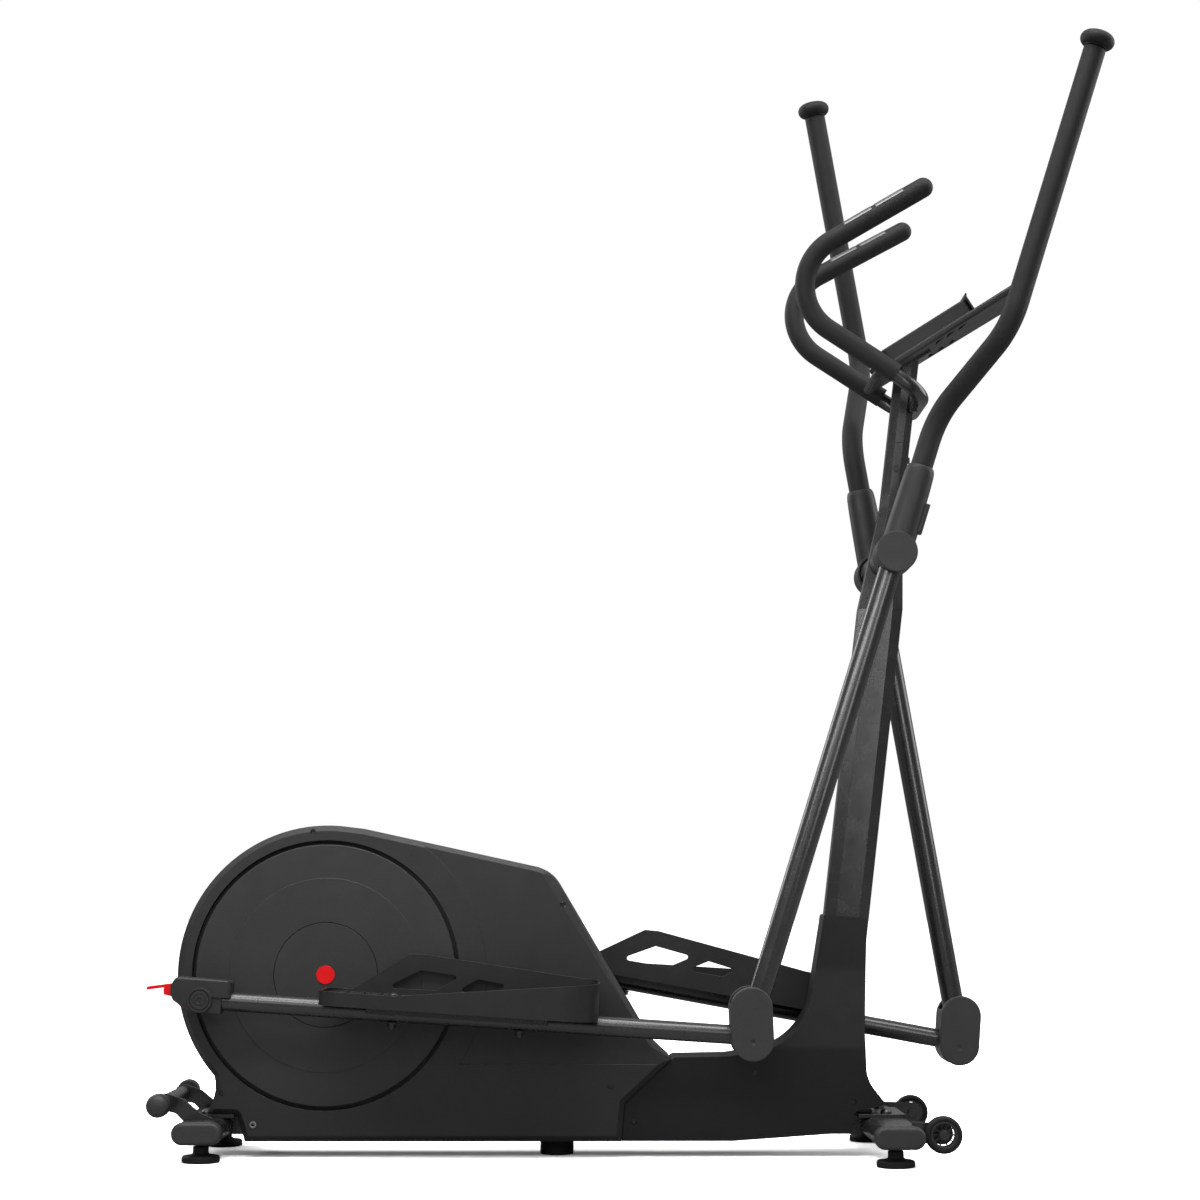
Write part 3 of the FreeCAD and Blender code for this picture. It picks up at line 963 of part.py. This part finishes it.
def round_slab(u0, u1, inset, r, z0, z1, edge):
    solid = console_slab(u0, u1, inset, r, z0, z1)
    rim = [e for e in solid.Edges if abs(e.CenterOfMass.z - z1) < 0.01 or abs(e.CenterOfMass.z - z0) < 0.01]
    return solid.makeFillet(edge, rim)


slab_z0 = -PANEL_H - SLAB_T
body = round_slab(SLAB_X0, SLAB_X1, 0.0, 26.0, slab_z0, -PANEL_H, 4.5)
raised = round_slab(0.0, PANEL_LENGTH, 4.0, 14.0, -PANEL_H - 4.6, 0.0, 3.0)
hollow = console_slab(6.0, PANEL_LENGTH - 6.0, 10.0, 10.0, slab_z0 + 3, -4.0)
screen_room = slab([(58, -74), (156, -74), (156, 74), (58, 74)], 6, -1.6, 5)
key_wells = [rod_z(x, y, KEY_R + 0.4, -5, 5) for x, y in KEY_PLACES]
vents = []
for x in (94.0, 117.0, 140.0):
    for side_y in (-1, 1):
        fan = [(x, side_y * 70), (x + 18, side_y * 70), (x + 4, side_y * 34)]
        vents.append(slab(fan, 1.5, slab_z0 - 1, slab_z0 + 4.0))
console = cut(fuse(body, raised), hollow, screen_room, *key_wells, *vents)
add("console_housing", on_console(console))
screen = slab([(58.2, -73.8), (155.8, -73.8), (155.8, 73.8), (58.2, 73.8)], 5.8, -1.6, 0.3)
add("console_screen", on_console(screen))
for number, (x, y) in enumerate(KEY_PLACES, 1):
    key_profile = [(0, -6.5), (KEY_R + 1.8, -6.5), (KEY_R + 1.8, -5.3), (KEY_R, -5.3), (KEY_R, 1.0),
                   (KEY_R - 1.2, 1.8), (0, 1.8)]
    key = revolve(key_profile, (x, y, 0), (0, 0, 1))
    add("console_key_" + str(number), on_console(key))
wall_x0, wall_x1 = PANEL_LENGTH + 0.2, PANEL_LENGTH + 3.2
ledge_w = half_width(PANEL_LENGTH) - 6
ledge_outline = [(wall_x0, -PANEL_H), (wall_x1, -PANEL_H), (wall_x1, 1.0), (wall_x1 + 3.0, 6.0),
                 (wall_x1 + 0.8, 7.4), (wall_x0, 1.6)]
ledge = prism(ledge_outline, [0, 0, 2, 0.8, 0.8, 2], -ledge_w, ledge_w)
ledge_top = box(wall_x1, SLAB_X1 - 18, -62, 62, -PANEL_H, -PANEL_H + 2.2)
add("tablet_holder", on_console(fuse(ledge, ledge_top)))

above_plate = on_console(box(-200, 400, -200, 200, slab_z0 - 5.0, 200))
mount_plate = on_console(box(30, 88, -28, 28, slab_z0 - 5.0, slab_z0))
add("console_post", post.cut(above_plate), mount_plate)


# ================================================================ write the nodes
for name, shapes in nodes.items():
    piece = shapes[0].copy() if len(shapes) == 1 else group(shapes)
    piece.translate(V(-ORIGIN_X, 0, 0))
    piece.exportStep("parts/" + name + ".step")
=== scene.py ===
import json
import math

import bmesh
import bpy
from mathutils import Matrix, Vector


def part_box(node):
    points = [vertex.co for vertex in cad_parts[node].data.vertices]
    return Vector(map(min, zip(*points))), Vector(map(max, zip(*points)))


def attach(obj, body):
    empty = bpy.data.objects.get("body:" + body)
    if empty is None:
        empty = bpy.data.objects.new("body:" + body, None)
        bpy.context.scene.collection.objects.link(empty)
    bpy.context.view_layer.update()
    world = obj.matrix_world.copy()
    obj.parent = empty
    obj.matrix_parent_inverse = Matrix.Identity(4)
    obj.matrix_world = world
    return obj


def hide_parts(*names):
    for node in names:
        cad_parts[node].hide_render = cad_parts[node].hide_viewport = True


# Looks of the elliptical trainer. Metres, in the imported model's frame:
# +X is forward (towards the console), +Y the user's left, +Z up.

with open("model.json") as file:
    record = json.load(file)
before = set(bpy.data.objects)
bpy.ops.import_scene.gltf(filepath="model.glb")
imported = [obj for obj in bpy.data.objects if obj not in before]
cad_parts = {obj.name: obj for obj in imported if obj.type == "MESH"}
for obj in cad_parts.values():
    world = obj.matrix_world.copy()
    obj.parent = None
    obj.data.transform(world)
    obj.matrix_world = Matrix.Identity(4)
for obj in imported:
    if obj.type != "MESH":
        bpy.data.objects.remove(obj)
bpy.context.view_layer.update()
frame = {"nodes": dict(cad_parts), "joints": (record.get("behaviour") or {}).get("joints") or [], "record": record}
NODES = frame["nodes"]
MM = 0.001
SIDES = (("right", -1), ("left", 1))            # name and sign of Y


# ================================================================ materials
class Shader:
    """A node material under construction: a Principled shader plus helpers to feed it."""

    def __init__(self, name):
        self.material = bpy.data.materials.new(name)
        self.material.use_nodes = True
        self.tree = self.material.node_tree
        self.bsdf = self.tree.nodes["Principled BSDF"]
        self.coords = self.add("ShaderNodeTexCoord").outputs["Object"]

    def add(self, kind, **inputs):
        node = self.tree.nodes.new(kind)
        for key, value in inputs.items():
            self.feed(node.inputs[key.replace("_", " ")], value)
        return node

    def feed(self, socket, value):
        if isinstance(value, bpy.types.NodeSocket):
            self.tree.links.new(value, socket)
        else:
            socket.default_value = value

    def set(self, **inputs):
        for key, value in inputs.items():
            self.feed(self.bsdf.inputs[key.replace("_", " ")], value)

    def noise(self, scale, detail=3.0, roughness=0.55, stretch=None):
        vector = self.coords
        if stretch:
            vector = self.add("ShaderNodeMapping", Vector=self.coords, Scale=stretch).outputs["Vector"]
        node = self.add("ShaderNodeTexNoise", Vector=vector, Scale=scale, Detail=detail, Roughness=roughness)
        return node.outputs["Fac"]

    def cells(self, scale):
        node = self.add("ShaderNodeTexVoronoi", Vector=self.coords, Scale=scale)
        return node.outputs["Distance"]

    def remap(self, value, low, high, to_low, to_high):
        node = self.add("ShaderNodeMapRange", Value=value, From_Min=low, From_Max=high, To_Min=to_low,
                        To_Max=to_high)
        return node.outputs["Result"]

    def ramp(self, value, *stops):
        """Colour ramp; each stop is (position, colour)."""
        node = self.add("ShaderNodeValToRGB", Fac=value)
        while len(node.color_ramp.elements) < len(stops):
            node.color_ramp.elements.new(0.5)
        for element, (position, colour) in zip(node.color_ramp.elements, stops):
            element.position = position
            element.color = (*colour, 1.0)
        return node.outputs["Color"]

    def shade(self, colour, factor):
        """Colour times a grey factor."""
        node = self.add("ShaderNodeVectorMath")
        node.operation = "SCALE"
        self.feed(node.inputs[0], colour)
        self.feed(node.inputs["Scale"], factor)
        return node.outputs["Vector"]

    def bump(self, height, strength, distance, under=None):
        node = self.add("ShaderNodeBump", Height=height, Strength=strength, Distance=distance)
        if under is not None:
            self.feed(node.inputs["Normal"], under)
        return node.outputs["Normal"]

    def mix(self, factor, first, second):
        node = self.add("ShaderNodeMix")
        node.data_type = "RGBA"
        self.feed(node.inputs["Factor"], factor)
        self.feed(node.inputs["A"], first)
        self.feed(node.inputs["B"], second)
        return node.outputs["Result"]

    def rounded(self, radius):
        """Normal of the surface with its sharp edges rounded."""
        node = self.add("ShaderNodeBevel", Radius=radius)
        node.samples = 4
        return node.outputs["Normal"]

    def edge(self, rounded):
        """1 where the rounded normal leaves the true one, which is along sharp edges, 0 elsewhere."""
        node = self.add("ShaderNodeVectorMath")
        node.operation = "DOT_PRODUCT"
        self.feed(node.inputs[0], rounded)
        self.feed(node.inputs[1], self.add("ShaderNodeNewGeometry").outputs["Normal"])
        return self.remap(node.outputs["Value"], 0.995, 0.90, 0.0, 1.0)


def grey(level, tint=0.0):
    return (level, level, level * (1.0 + tint))


def rgba(colour):
    return (*colour, 1.0)


# Noise scales, in cycles per metre.
BLOTCHES, SMEARS, WAVES = 7.0, 38.0, 18.0       # coated plastic and paint
FOAM_CLOUDS, FOAM_PORES, FOAM_WRINKLES = 26.0, 1500.0, 340.0
TOOL_LINES = 160.0                              # turned and brushed metal
TINT_CLOUDS, SMUDGES, ORANGE_PEEL = 60.0, 150.0, 240.0

PLASTIC_TINT, METAL_TINT = 0.01, 0.02           # how much bluer than grey
BLOTCH_SPREAD = 0.10                            # blotches are this much darker and lighter
WORN_LIFT = 0.003                               # added to the shade of a worn edge


def coated(name, level, rough, grain_scale, grain_depth, wear=0.6, specular=0.30, round_edge=0.0009):
    """Dark moulded plastic or paint: slight blotches, a fine grain and rounded, lighter edges."""
    s = Shader(name)
    blotch = s.noise(BLOTCHES, detail=4.0)
    darker, lighter = level * (1 - BLOTCH_SPREAD), level * (1 + BLOTCH_SPREAD)
    base = s.ramp(blotch, (0.30, grey(darker, PLASTIC_TINT)), (0.70, grey(lighter, PLASTIC_TINT)))
    soft = s.rounded(round_edge)
    worn = s.mix(s.edge(soft), base, rgba(grey(level * (1 + wear) + WORN_LIFT, PLASTIC_TINT)))
    speck = s.remap(s.noise(grain_scale * 0.6, detail=2.0), 0.35, 0.75, 0.80, 1.25)
    s.set(Base_Color=s.shade(worn, speck),
          Roughness=s.remap(s.noise(SMEARS, detail=6.0), 0.3, 0.7, rough - 0.05, rough + 0.06),
          Specular_IOR_Level=specular)
    fine = s.bump(s.noise(grain_scale, detail=2.0, roughness=0.7), 0.60, grain_depth, under=soft)
    s.set(Normal=s.bump(s.noise(WAVES, detail=2.0), 0.08, 0.0008, under=fine))
    return s.material


def foam(name, level):
    """Closed-cell foam: tiny open pores darkened with painted shade, faint skin wrinkles, very rough."""
    s = Shader(name)
    clouds = s.noise(FOAM_CLOUDS, detail=5.0)
    base = s.ramp(clouds, (0.3, grey(level * 0.88)), (0.72, grey(level * 1.14)))
    pores = s.cells(FOAM_PORES)
    # painted shade: each pore is darkened towards its middle in place of the shadow inside a real hole
    painted_pore_shade = s.remap(pores, 0.05, 0.42, 0.75, 0.0)
    s.set(Base_Color=s.mix(painted_pore_shade, base, rgba(grey(level * 0.25))), Roughness=0.56, Specular_IOR_Level=0.28)
    fine = s.bump(pores, 0.7, 0.0004, under=s.rounded(0.0012))
    s.set(Normal=s.bump(s.noise(FOAM_WRINKLES, detail=3.0), 0.35, 0.0004, under=fine))
    return s.material


def metal(name, level, rough, stretch=(1.0, 1.0, 1.0)):
    """Turned or brushed metal: fine noise, closer together along an axis with a larger stretch."""
    s = Shader(name)
    lines = s.noise(TOOL_LINES, detail=5.0, roughness=0.7, stretch=stretch)
    darker, lighter = grey(level * 0.88, METAL_TINT), grey(level * 1.08, METAL_TINT)
    s.set(Base_Color=s.ramp(lines, (0.25, darker), (0.75, lighter)),
          Roughness=s.remap(lines, 0.2, 0.8, rough - 0.08, rough + 0.10), Metallic=1.0)
    s.set(Normal=s.bump(lines, 0.20, 0.00012, under=s.rounded(0.0004)))
    return s.material


def gloss(name, colour, rough, specular=0.40):
    """Glossy coloured plastic with a light orange-peel surface."""
    s = Shader(name)
    dark = tuple(c * 0.85 for c in colour)
    s.set(Base_Color=s.ramp(s.noise(TINT_CLOUDS), (0.3, dark), (0.7, colour)),
          Roughness=s.remap(s.noise(SMUDGES, detail=5.0), 0.3, 0.7, rough, rough + 0.12),
          Specular_IOR_Level=specular)
    s.set(Normal=s.bump(s.noise(ORANGE_PEEL), 0.15, 0.0002, under=s.rounded(0.0008)))
    return s.material


# One finish for each material slot of the record.
FINISH = {
    "black_paint": coated("black_powder_coat", 0.0140, 0.25, 1500.0, 0.00008, wear=0.8, specular=0.62),
    "black_shell": coated("black_moulded_shell", 0.0185, 0.44, 1900.0, 0.00012, specular=0.30),
    "disc_plastic": coated("satin_disc_plastic", 0.0255, 0.42, 2300.0, 0.00007, specular=0.28),
    "grey_cover": coated("dark_grey_cover", 0.0300, 0.46, 1700.0, 0.00012, wear=0.4, round_edge=0.0030),
    "cap_plastic": coated("grained_cap_plastic", 0.0260, 0.50, 1300.0, 0.00018, wear=0.5),
    "pedal_plastic": coated("pedal_plastic", 0.0130, 0.42, 1500.0, 0.00012, wear=0.7),
    "foam": foam("closed_cell_foam", 0.0075),
    "foot_rubber": coated("foot_rubber", 0.0080, 0.60, 900.0, 0.00020, wear=0.5, specular=0.22),
    "wheel_plastic": coated("wheel_plastic", 0.0260, 0.42, 1600.0, 0.00010, wear=0.6),
    "red_plastic": gloss("red_lever_plastic", (0.66, 0.003, 0.005), 0.34, specular=0.22),
    "bolt_steel": metal("black_zinc_steel", 0.060, 0.34),
    "drive_steel": metal("machined_steel", 0.42, 0.30),
    "flywheel_iron": metal("turned_iron", 0.20, 0.38),
    "pulley_plastic": coated("pulley_plastic", 0.0300, 0.45, 1500.0, 0.00010),
    "belt_rubber": coated("belt_rubber", 0.0100, 0.60, 900.0, 0.00020),
    "inlet_metal": metal("nickel_ring", 0.30, 0.26),
    "plate_metal": metal("polished_pulse_plate", 0.17, 0.40, stretch=(1.0, 9.0, 1.0)),
    "screen_glass": gloss("display_window", (0.012, 0.014, 0.018), 0.08),
    "key_rubber": coated("soft_key_rubber", 0.0420, 0.60, 1200.0, 0.00015),
}
# A darker finish of their own in place of their slot's: the shroud and the lever boots.
DARK_SHELL = coated("dark_moulded_shell", 0.0085, 0.48, 1900.0, 0.00012, specular=0.20)
DARK_COVER = coated("dark_lever_boot", 0.0160, 0.48, 1700.0, 0.00012, wear=0.4, round_edge=0.0030)
VARIANT = {"front_shroud": DARK_SHELL, "right_lever_boot": DARK_COVER, "left_lever_boot": DARK_COVER}

for part in frame["record"]["subparts"]:
    mesh = NODES[part["node"]].data
    mesh.materials.clear()
    mesh.materials.append(VARIANT.get(part["node"], FINISH[part["material_slot"]]))


# ================================================================ pieces built here
def joint_at(name):
    return next(Vector(j["pos_m"]) for j in frame["joints"] if j["name"] == name)


def rounded(points, radius, closed=False, steps=6):
    """A (radius, height) profile with every corner rounded, in millimetres."""
    made = []
    count = len(points)
    for i, here in enumerate(points):
        if not closed and i in (0, count - 1):
            made.append(Vector(here))
            continue
        here = Vector(here)
        before = Vector(points[i - 1]) - here
        after = Vector(points[(i + 1) % count]) - here
        reach = min(radius, before.length * 0.45, after.length * 0.45)
        first, last = here + before.normalized() * reach, here + after.normalized() * reach
        for step in range(steps + 1):
            t = step / steps
            made.append(first * (1 - t) ** 2 + here * 2 * t * (1 - t) + last * t ** 2)
    return made


def turned(bm, profile, base, axis, closed=False, segments=96, material=0):
    """Add a turned solid: a profile in millimetres goes round the axis, measured from the base point."""
    spin = Vector(axis).to_track_quat("Z", "Y").to_matrix()
    rings = []
    for r, h in profile:
        if r < 1e-6:
            rings.append([bm.verts.new(Vector(base) + spin @ Vector((0, 0, h * MM)))])
            continue
        ring = []
        for k in range(segments):
            a = 2 * math.pi * k / segments
            point = Vector((r * math.cos(a), r * math.sin(a), h))
            ring.append(bm.verts.new(Vector(base) + spin @ point * MM))
        rings.append(ring)
    pairs = list(zip(rings, rings[1:] + rings[:1])) if closed else list(zip(rings, rings[1:]))
    for low, high in pairs:
        for k in range(segments):
            n = (k + 1) % segments
            corners = [low[k % len(low)], low[n % len(low)], high[n % len(high)], high[k % len(high)]]
            face = bm.faces.new(list(dict.fromkeys(corners)))
            face.material_index = material
    return bm


def piece(name, bm, body, nodes, slots, sharp=40.0):
    """Turn a bmesh into a piece that rides on a body in place of CAD nodes; sharp is in degrees."""
    bmesh.ops.recalc_face_normals(bm, faces=bm.faces)
    mesh = bpy.data.meshes.new(name)
    bm.to_mesh(mesh)
    bm.free()
    mesh.shade_smooth()
    mesh.set_sharp_from_angle(angle=math.radians(sharp))
    for slot in slots:
        mesh.materials.append(FINISH[slot])
    obj = bpy.data.objects.new(name, mesh)
    bpy.context.scene.collection.objects.link(obj)
    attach(obj, body)
    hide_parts(*nodes)
    return obj


# Profiles are (radius, height) in millimetres.
# Foam end knobs of the hand levers. LEVER_TOP is a lever's end from its pivot: forward, outward, up.
LEVER_TOP = Vector((60.0, 132.0, 872.0))
KNOB = [(0, -2), (18.3, -2), (18.3, 0.2), (22.0, 0.6), (26.3, 4.2), (28.3, 9.5), (28.2, 14.0), (26.0, 19.0),
        (21.5, 22.6), (14.0, 24.9), (6.0, 25.6), (0, 25.6)]
for name, sign in SIDES:
    pivot, foot = joint_at(name + "_lever_swing"), joint_at(name + "_pedal_hinge")
    up = (pivot - foot).normalized()
    ahead = Vector((up.z, 0, -up.x))
    end = pivot + (ahead * LEVER_TOP.x + Vector((0, sign, 0)) * LEVER_TOP.y + up * LEVER_TOP.z) * MM
    piece(name + "_knob", turned(bmesh.new(), rounded(KNOB, 2.5), end, up), name + "_lever",
          [name + "_lever_knob"], ["foam"], sharp=60.0)

# Levelling feet: a pad, a collar and a threaded stem.
FOOT = [(0, 0), (28.3, 0), (30.4, 1.6), (30.4, 8.8), (28.0, 11.4), (15.5, 12.7), (12.6, 15.4),
        (12.6, 25.8), (6.2, 26)]
THREAD_TOP, THREAD_PITCH = 52.0, 1.25
THREAD_CREST, THREAD_ROOT = 5.9, 5.2
for side, _ in SIDES:
    for end in ("front", "rear"):
        node = side + "_" + end + "_foot"
        low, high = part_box(node)
        outline = rounded(FOOT, 1.4)
        z = FOOT[-1][1]
        while z < THREAD_TOP - THREAD_PITCH:
            outline += [Vector((THREAD_CREST, z)), Vector((THREAD_ROOT, z + THREAD_PITCH / 2))]
            z += THREAD_PITCH
        outline += [Vector((THREAD_ROOT, THREAD_TOP)), Vector((0, THREAD_TOP))]
        centre = Vector(((low.x + high.x) / 2, (low.y + high.y) / 2, low.z))
        pad = turned(bmesh.new(), outline, centre, (0, 0, 1))
        piece(node + "_pad", pad, node, [node], ["foot_rubber"], sharp=30.0)

# Transport wheels: tyre, rim, hub and spokes.
TYRE = [(20.8, -9.5), (24.5, -11), (28.2, -9.2), (29.4, -5.5), (29.4, 5.5), (28.2, 9.2), (24.5, 11),
        (20.8, 9.5)]
RIM = [(17.8, -9.5), (21.0, -10.2), (21.0, 10.2), (17.8, 9.5), (17.0, 0)]
HUB = [(4.1, -11), (8.2, -11), (8.2, 11), (4.1, 11)]
SPOKES, SPOKE_HALF = 10, (6.2, 3.4, 1.1)        # number, and half length, width and thickness
SPOKE_AT, SPOKE_EDGE = 13.0, 0.5                # radius of a spoke's middle, and its bevel
for side, _ in SIDES:
    node = side + "_wheel"
    low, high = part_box(node)
    centre = (low + high) / 2
    bm = bmesh.new()
    turned(bm, rounded(TYRE, 2.0, closed=True), centre, (0, 1, 0), closed=True, material=1)
    turned(bm, rounded(RIM, 0.8, closed=True), centre, (0, 1, 0), closed=True)
    turned(bm, rounded(HUB, 0.6, closed=True), centre, (0, 1, 0), closed=True, segments=48)
    for k in range(SPOKES):
        spin = Matrix.Translation(centre) @ Matrix.Rotation(2 * math.pi * k / SPOKES, 4, "Y")
        full_size = Matrix.Diagonal([2 * v * MM for v in SPOKE_HALF] + [1.0])
        place = spin @ Matrix.Translation((SPOKE_AT * MM, 0, 0)) @ full_size
        spoke = bmesh.ops.create_cube(bm, size=1.0, matrix=place)
        edges = {e for v in spoke["verts"] for e in v.link_edges}
        bmesh.ops.bevel(bm, geom=list(edges), offset=SPOKE_EDGE * MM, segments=2, affect="EDGES")
    piece(node + "_tyre_and_rim", bm, node, [node], ["wheel_plastic", "foot_rubber"])

# Ball ends of the rear carry handle, pointing outward from HANDLE_END_BASE.
HANDLE_END = [(12.1, -18), (17.3, -18), (18.9, -14), (18.9, 3), (17, 9), (12, 13.5), (5, 15.2), (0, 15.4)]
HANDLE_END_BASE, HANDLE_END_FLOOR = 158.0, -17.9
low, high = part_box("rear_handle_ends")
bm = bmesh.new()
for sign in (-1, 1):
    base = Vector(((low.x + high.x) / 2, sign * HANDLE_END_BASE * MM, (low.z + high.z) / 2))
    turned(bm, [Vector((0, HANDLE_END_FLOOR))] + rounded(HANDLE_END, 2.2), base, (0, sign, 0))
piece("rear_handle_balls", bm, "frame", ["rear_handle_ends"], ["cap_plastic"], sharp=50.0)


# ================================================================ floor, light and camera
def plane(name, size, centre):
    mesh = bpy.data.meshes.new(name)
    half = size / 2
    corners = [(-half, -half, 0), (half, -half, 0), (half, half, 0), (-half, half, 0)]
    mesh.from_pydata([Vector(c) + Vector(centre) for c in corners], [], [(0, 1, 2, 3)])
    obj = bpy.data.objects.new(name, mesh)
    bpy.context.scene.collection.objects.link(obj)
    return obj


# The camera sees a white floor; the object is lit by a much darker one, so it keeps its dark underside.
FLOOR_SIZE, FLOOR_CLOUDS = 60.0, 3.0
SEEN_FLOOR, BOUNCE_FLOOR = (2.5, 2.6), 0.30
floor = plane("studio_floor", FLOOR_SIZE, (0, 0, 0))
floor_shader = Shader("studio_floor_white")
direct_view = floor_shader.add("ShaderNodeLightPath").outputs["Is Camera Ray"]
clouds = floor_shader.noise(FLOOR_CLOUDS)
paper = floor_shader.ramp(clouds, (0.3, grey(SEEN_FLOOR[0])), (0.7, grey(SEEN_FLOOR[1])))
floor_shader.set(Base_Color=floor_shader.mix(direct_view, rgba(grey(BOUNCE_FLOOR)), paper), Roughness=0.9,
                 Specular_IOR_Level=0.0)
floor.data.materials.append(floor_shader.material)


def area_light(name, place, target, size, power, spread=180.0):
    """A rectangular lamp the camera doesn't see: size in metres, power in watts, spread in degrees."""
    data = bpy.data.lights.new(name, "AREA")
    data.shape = "RECTANGLE"
    data.size, data.size_y = size
    data.energy = power
    data.spread = math.radians(spread)
    lamp = bpy.data.objects.new(name, data)
    lamp.visible_camera = False
    bpy.context.scene.collection.objects.link(lamp)
    lamp.location = place
    lamp.rotation_euler = (Vector(target) - Vector(place)).to_track_quat("-Z", "Y").to_euler()


area_light("top_softbox", (0.0, -1.0, 4.0), (0.0, 0.0, 0.5), (4.0, 1.6), 150.0)
area_light("front_fill", (-0.8, -5.5, 2.6), (0.0, 0.0, 0.7), (4.5, 2.0), 60.0)
area_light("rear_rim", (-2.8, 2.6, 2.4), (0.0, 0.0, 0.8), (1.6, 2.6), 60.0)
area_light("right_rim", (3.2, 0.8, 2.2), (0.0, 0.0, 0.9), (1.6, 2.6), 50.0)
area_light("casing_strip", (-0.5, -0.9, 1.15), (-0.5, 0.0, 0.45), (1.2, 0.25), 9.0)
area_light("mast_strip", (0.75, -1.1, 0.85), (0.50, 0.0, 0.80), (0.25, 0.8), 0.7, spread=80.0)

# The world lights the object with a soft gradient, and is plain white to the camera.
GLOW = (("From Min", -0.1), ("From Max", 0.9), ("To Min", 0.10), ("To Max", 0.75))
world = bpy.data.worlds.new("studio")
bpy.context.scene.world = world
world.use_nodes = True
tree = world.node_tree
background = tree.nodes["Background"]
height = tree.nodes.new("ShaderNodeSeparateXYZ")
tree.links.new(tree.nodes.new("ShaderNodeTexCoord").outputs["Generated"], height.inputs["Vector"])
glow = tree.nodes.new("ShaderNodeMapRange")     # brighter overhead than below
tree.links.new(height.outputs["Z"], glow.inputs["Value"])
for socket, value in GLOW:
    glow.inputs[socket].default_value = value
seen = tree.nodes.new("ShaderNodeMix")
tree.links.new(tree.nodes.new("ShaderNodeLightPath").outputs["Is Camera Ray"], seen.inputs["Factor"])
tree.links.new(glow.outputs["Result"], seen.inputs["A"])
seen.inputs["B"].default_value = 1.0
tree.links.new(seen.outputs["Result"], background.inputs["Strength"])
background.inputs["Color"].default_value = (1.0, 1.0, 1.0, 1.0)

camera_data = bpy.data.cameras.new("camera")
camera = bpy.data.objects.new("camera", camera_data)
bpy.context.scene.collection.objects.link(camera)
camera_data.lens, camera_data.sensor_width = 75.0, 36.0     # mm
CAMERA_DISTANCE, CAMERA_HEIGHT, CAMERA_X = 4.2, 0.4338, -0.0707
PITCH_UP, YAW_RIGHT = 6.59, 0.23
camera.location = (CAMERA_X, -CAMERA_DISTANCE, CAMERA_HEIGHT)
camera.rotation_euler = (math.radians(90.0 + PITCH_UP), 0.0, math.radians(-YAW_RIGHT))
bpy.context.scene.camera = camera
bpy.context.scene.view_settings.view_transform = "Standard"
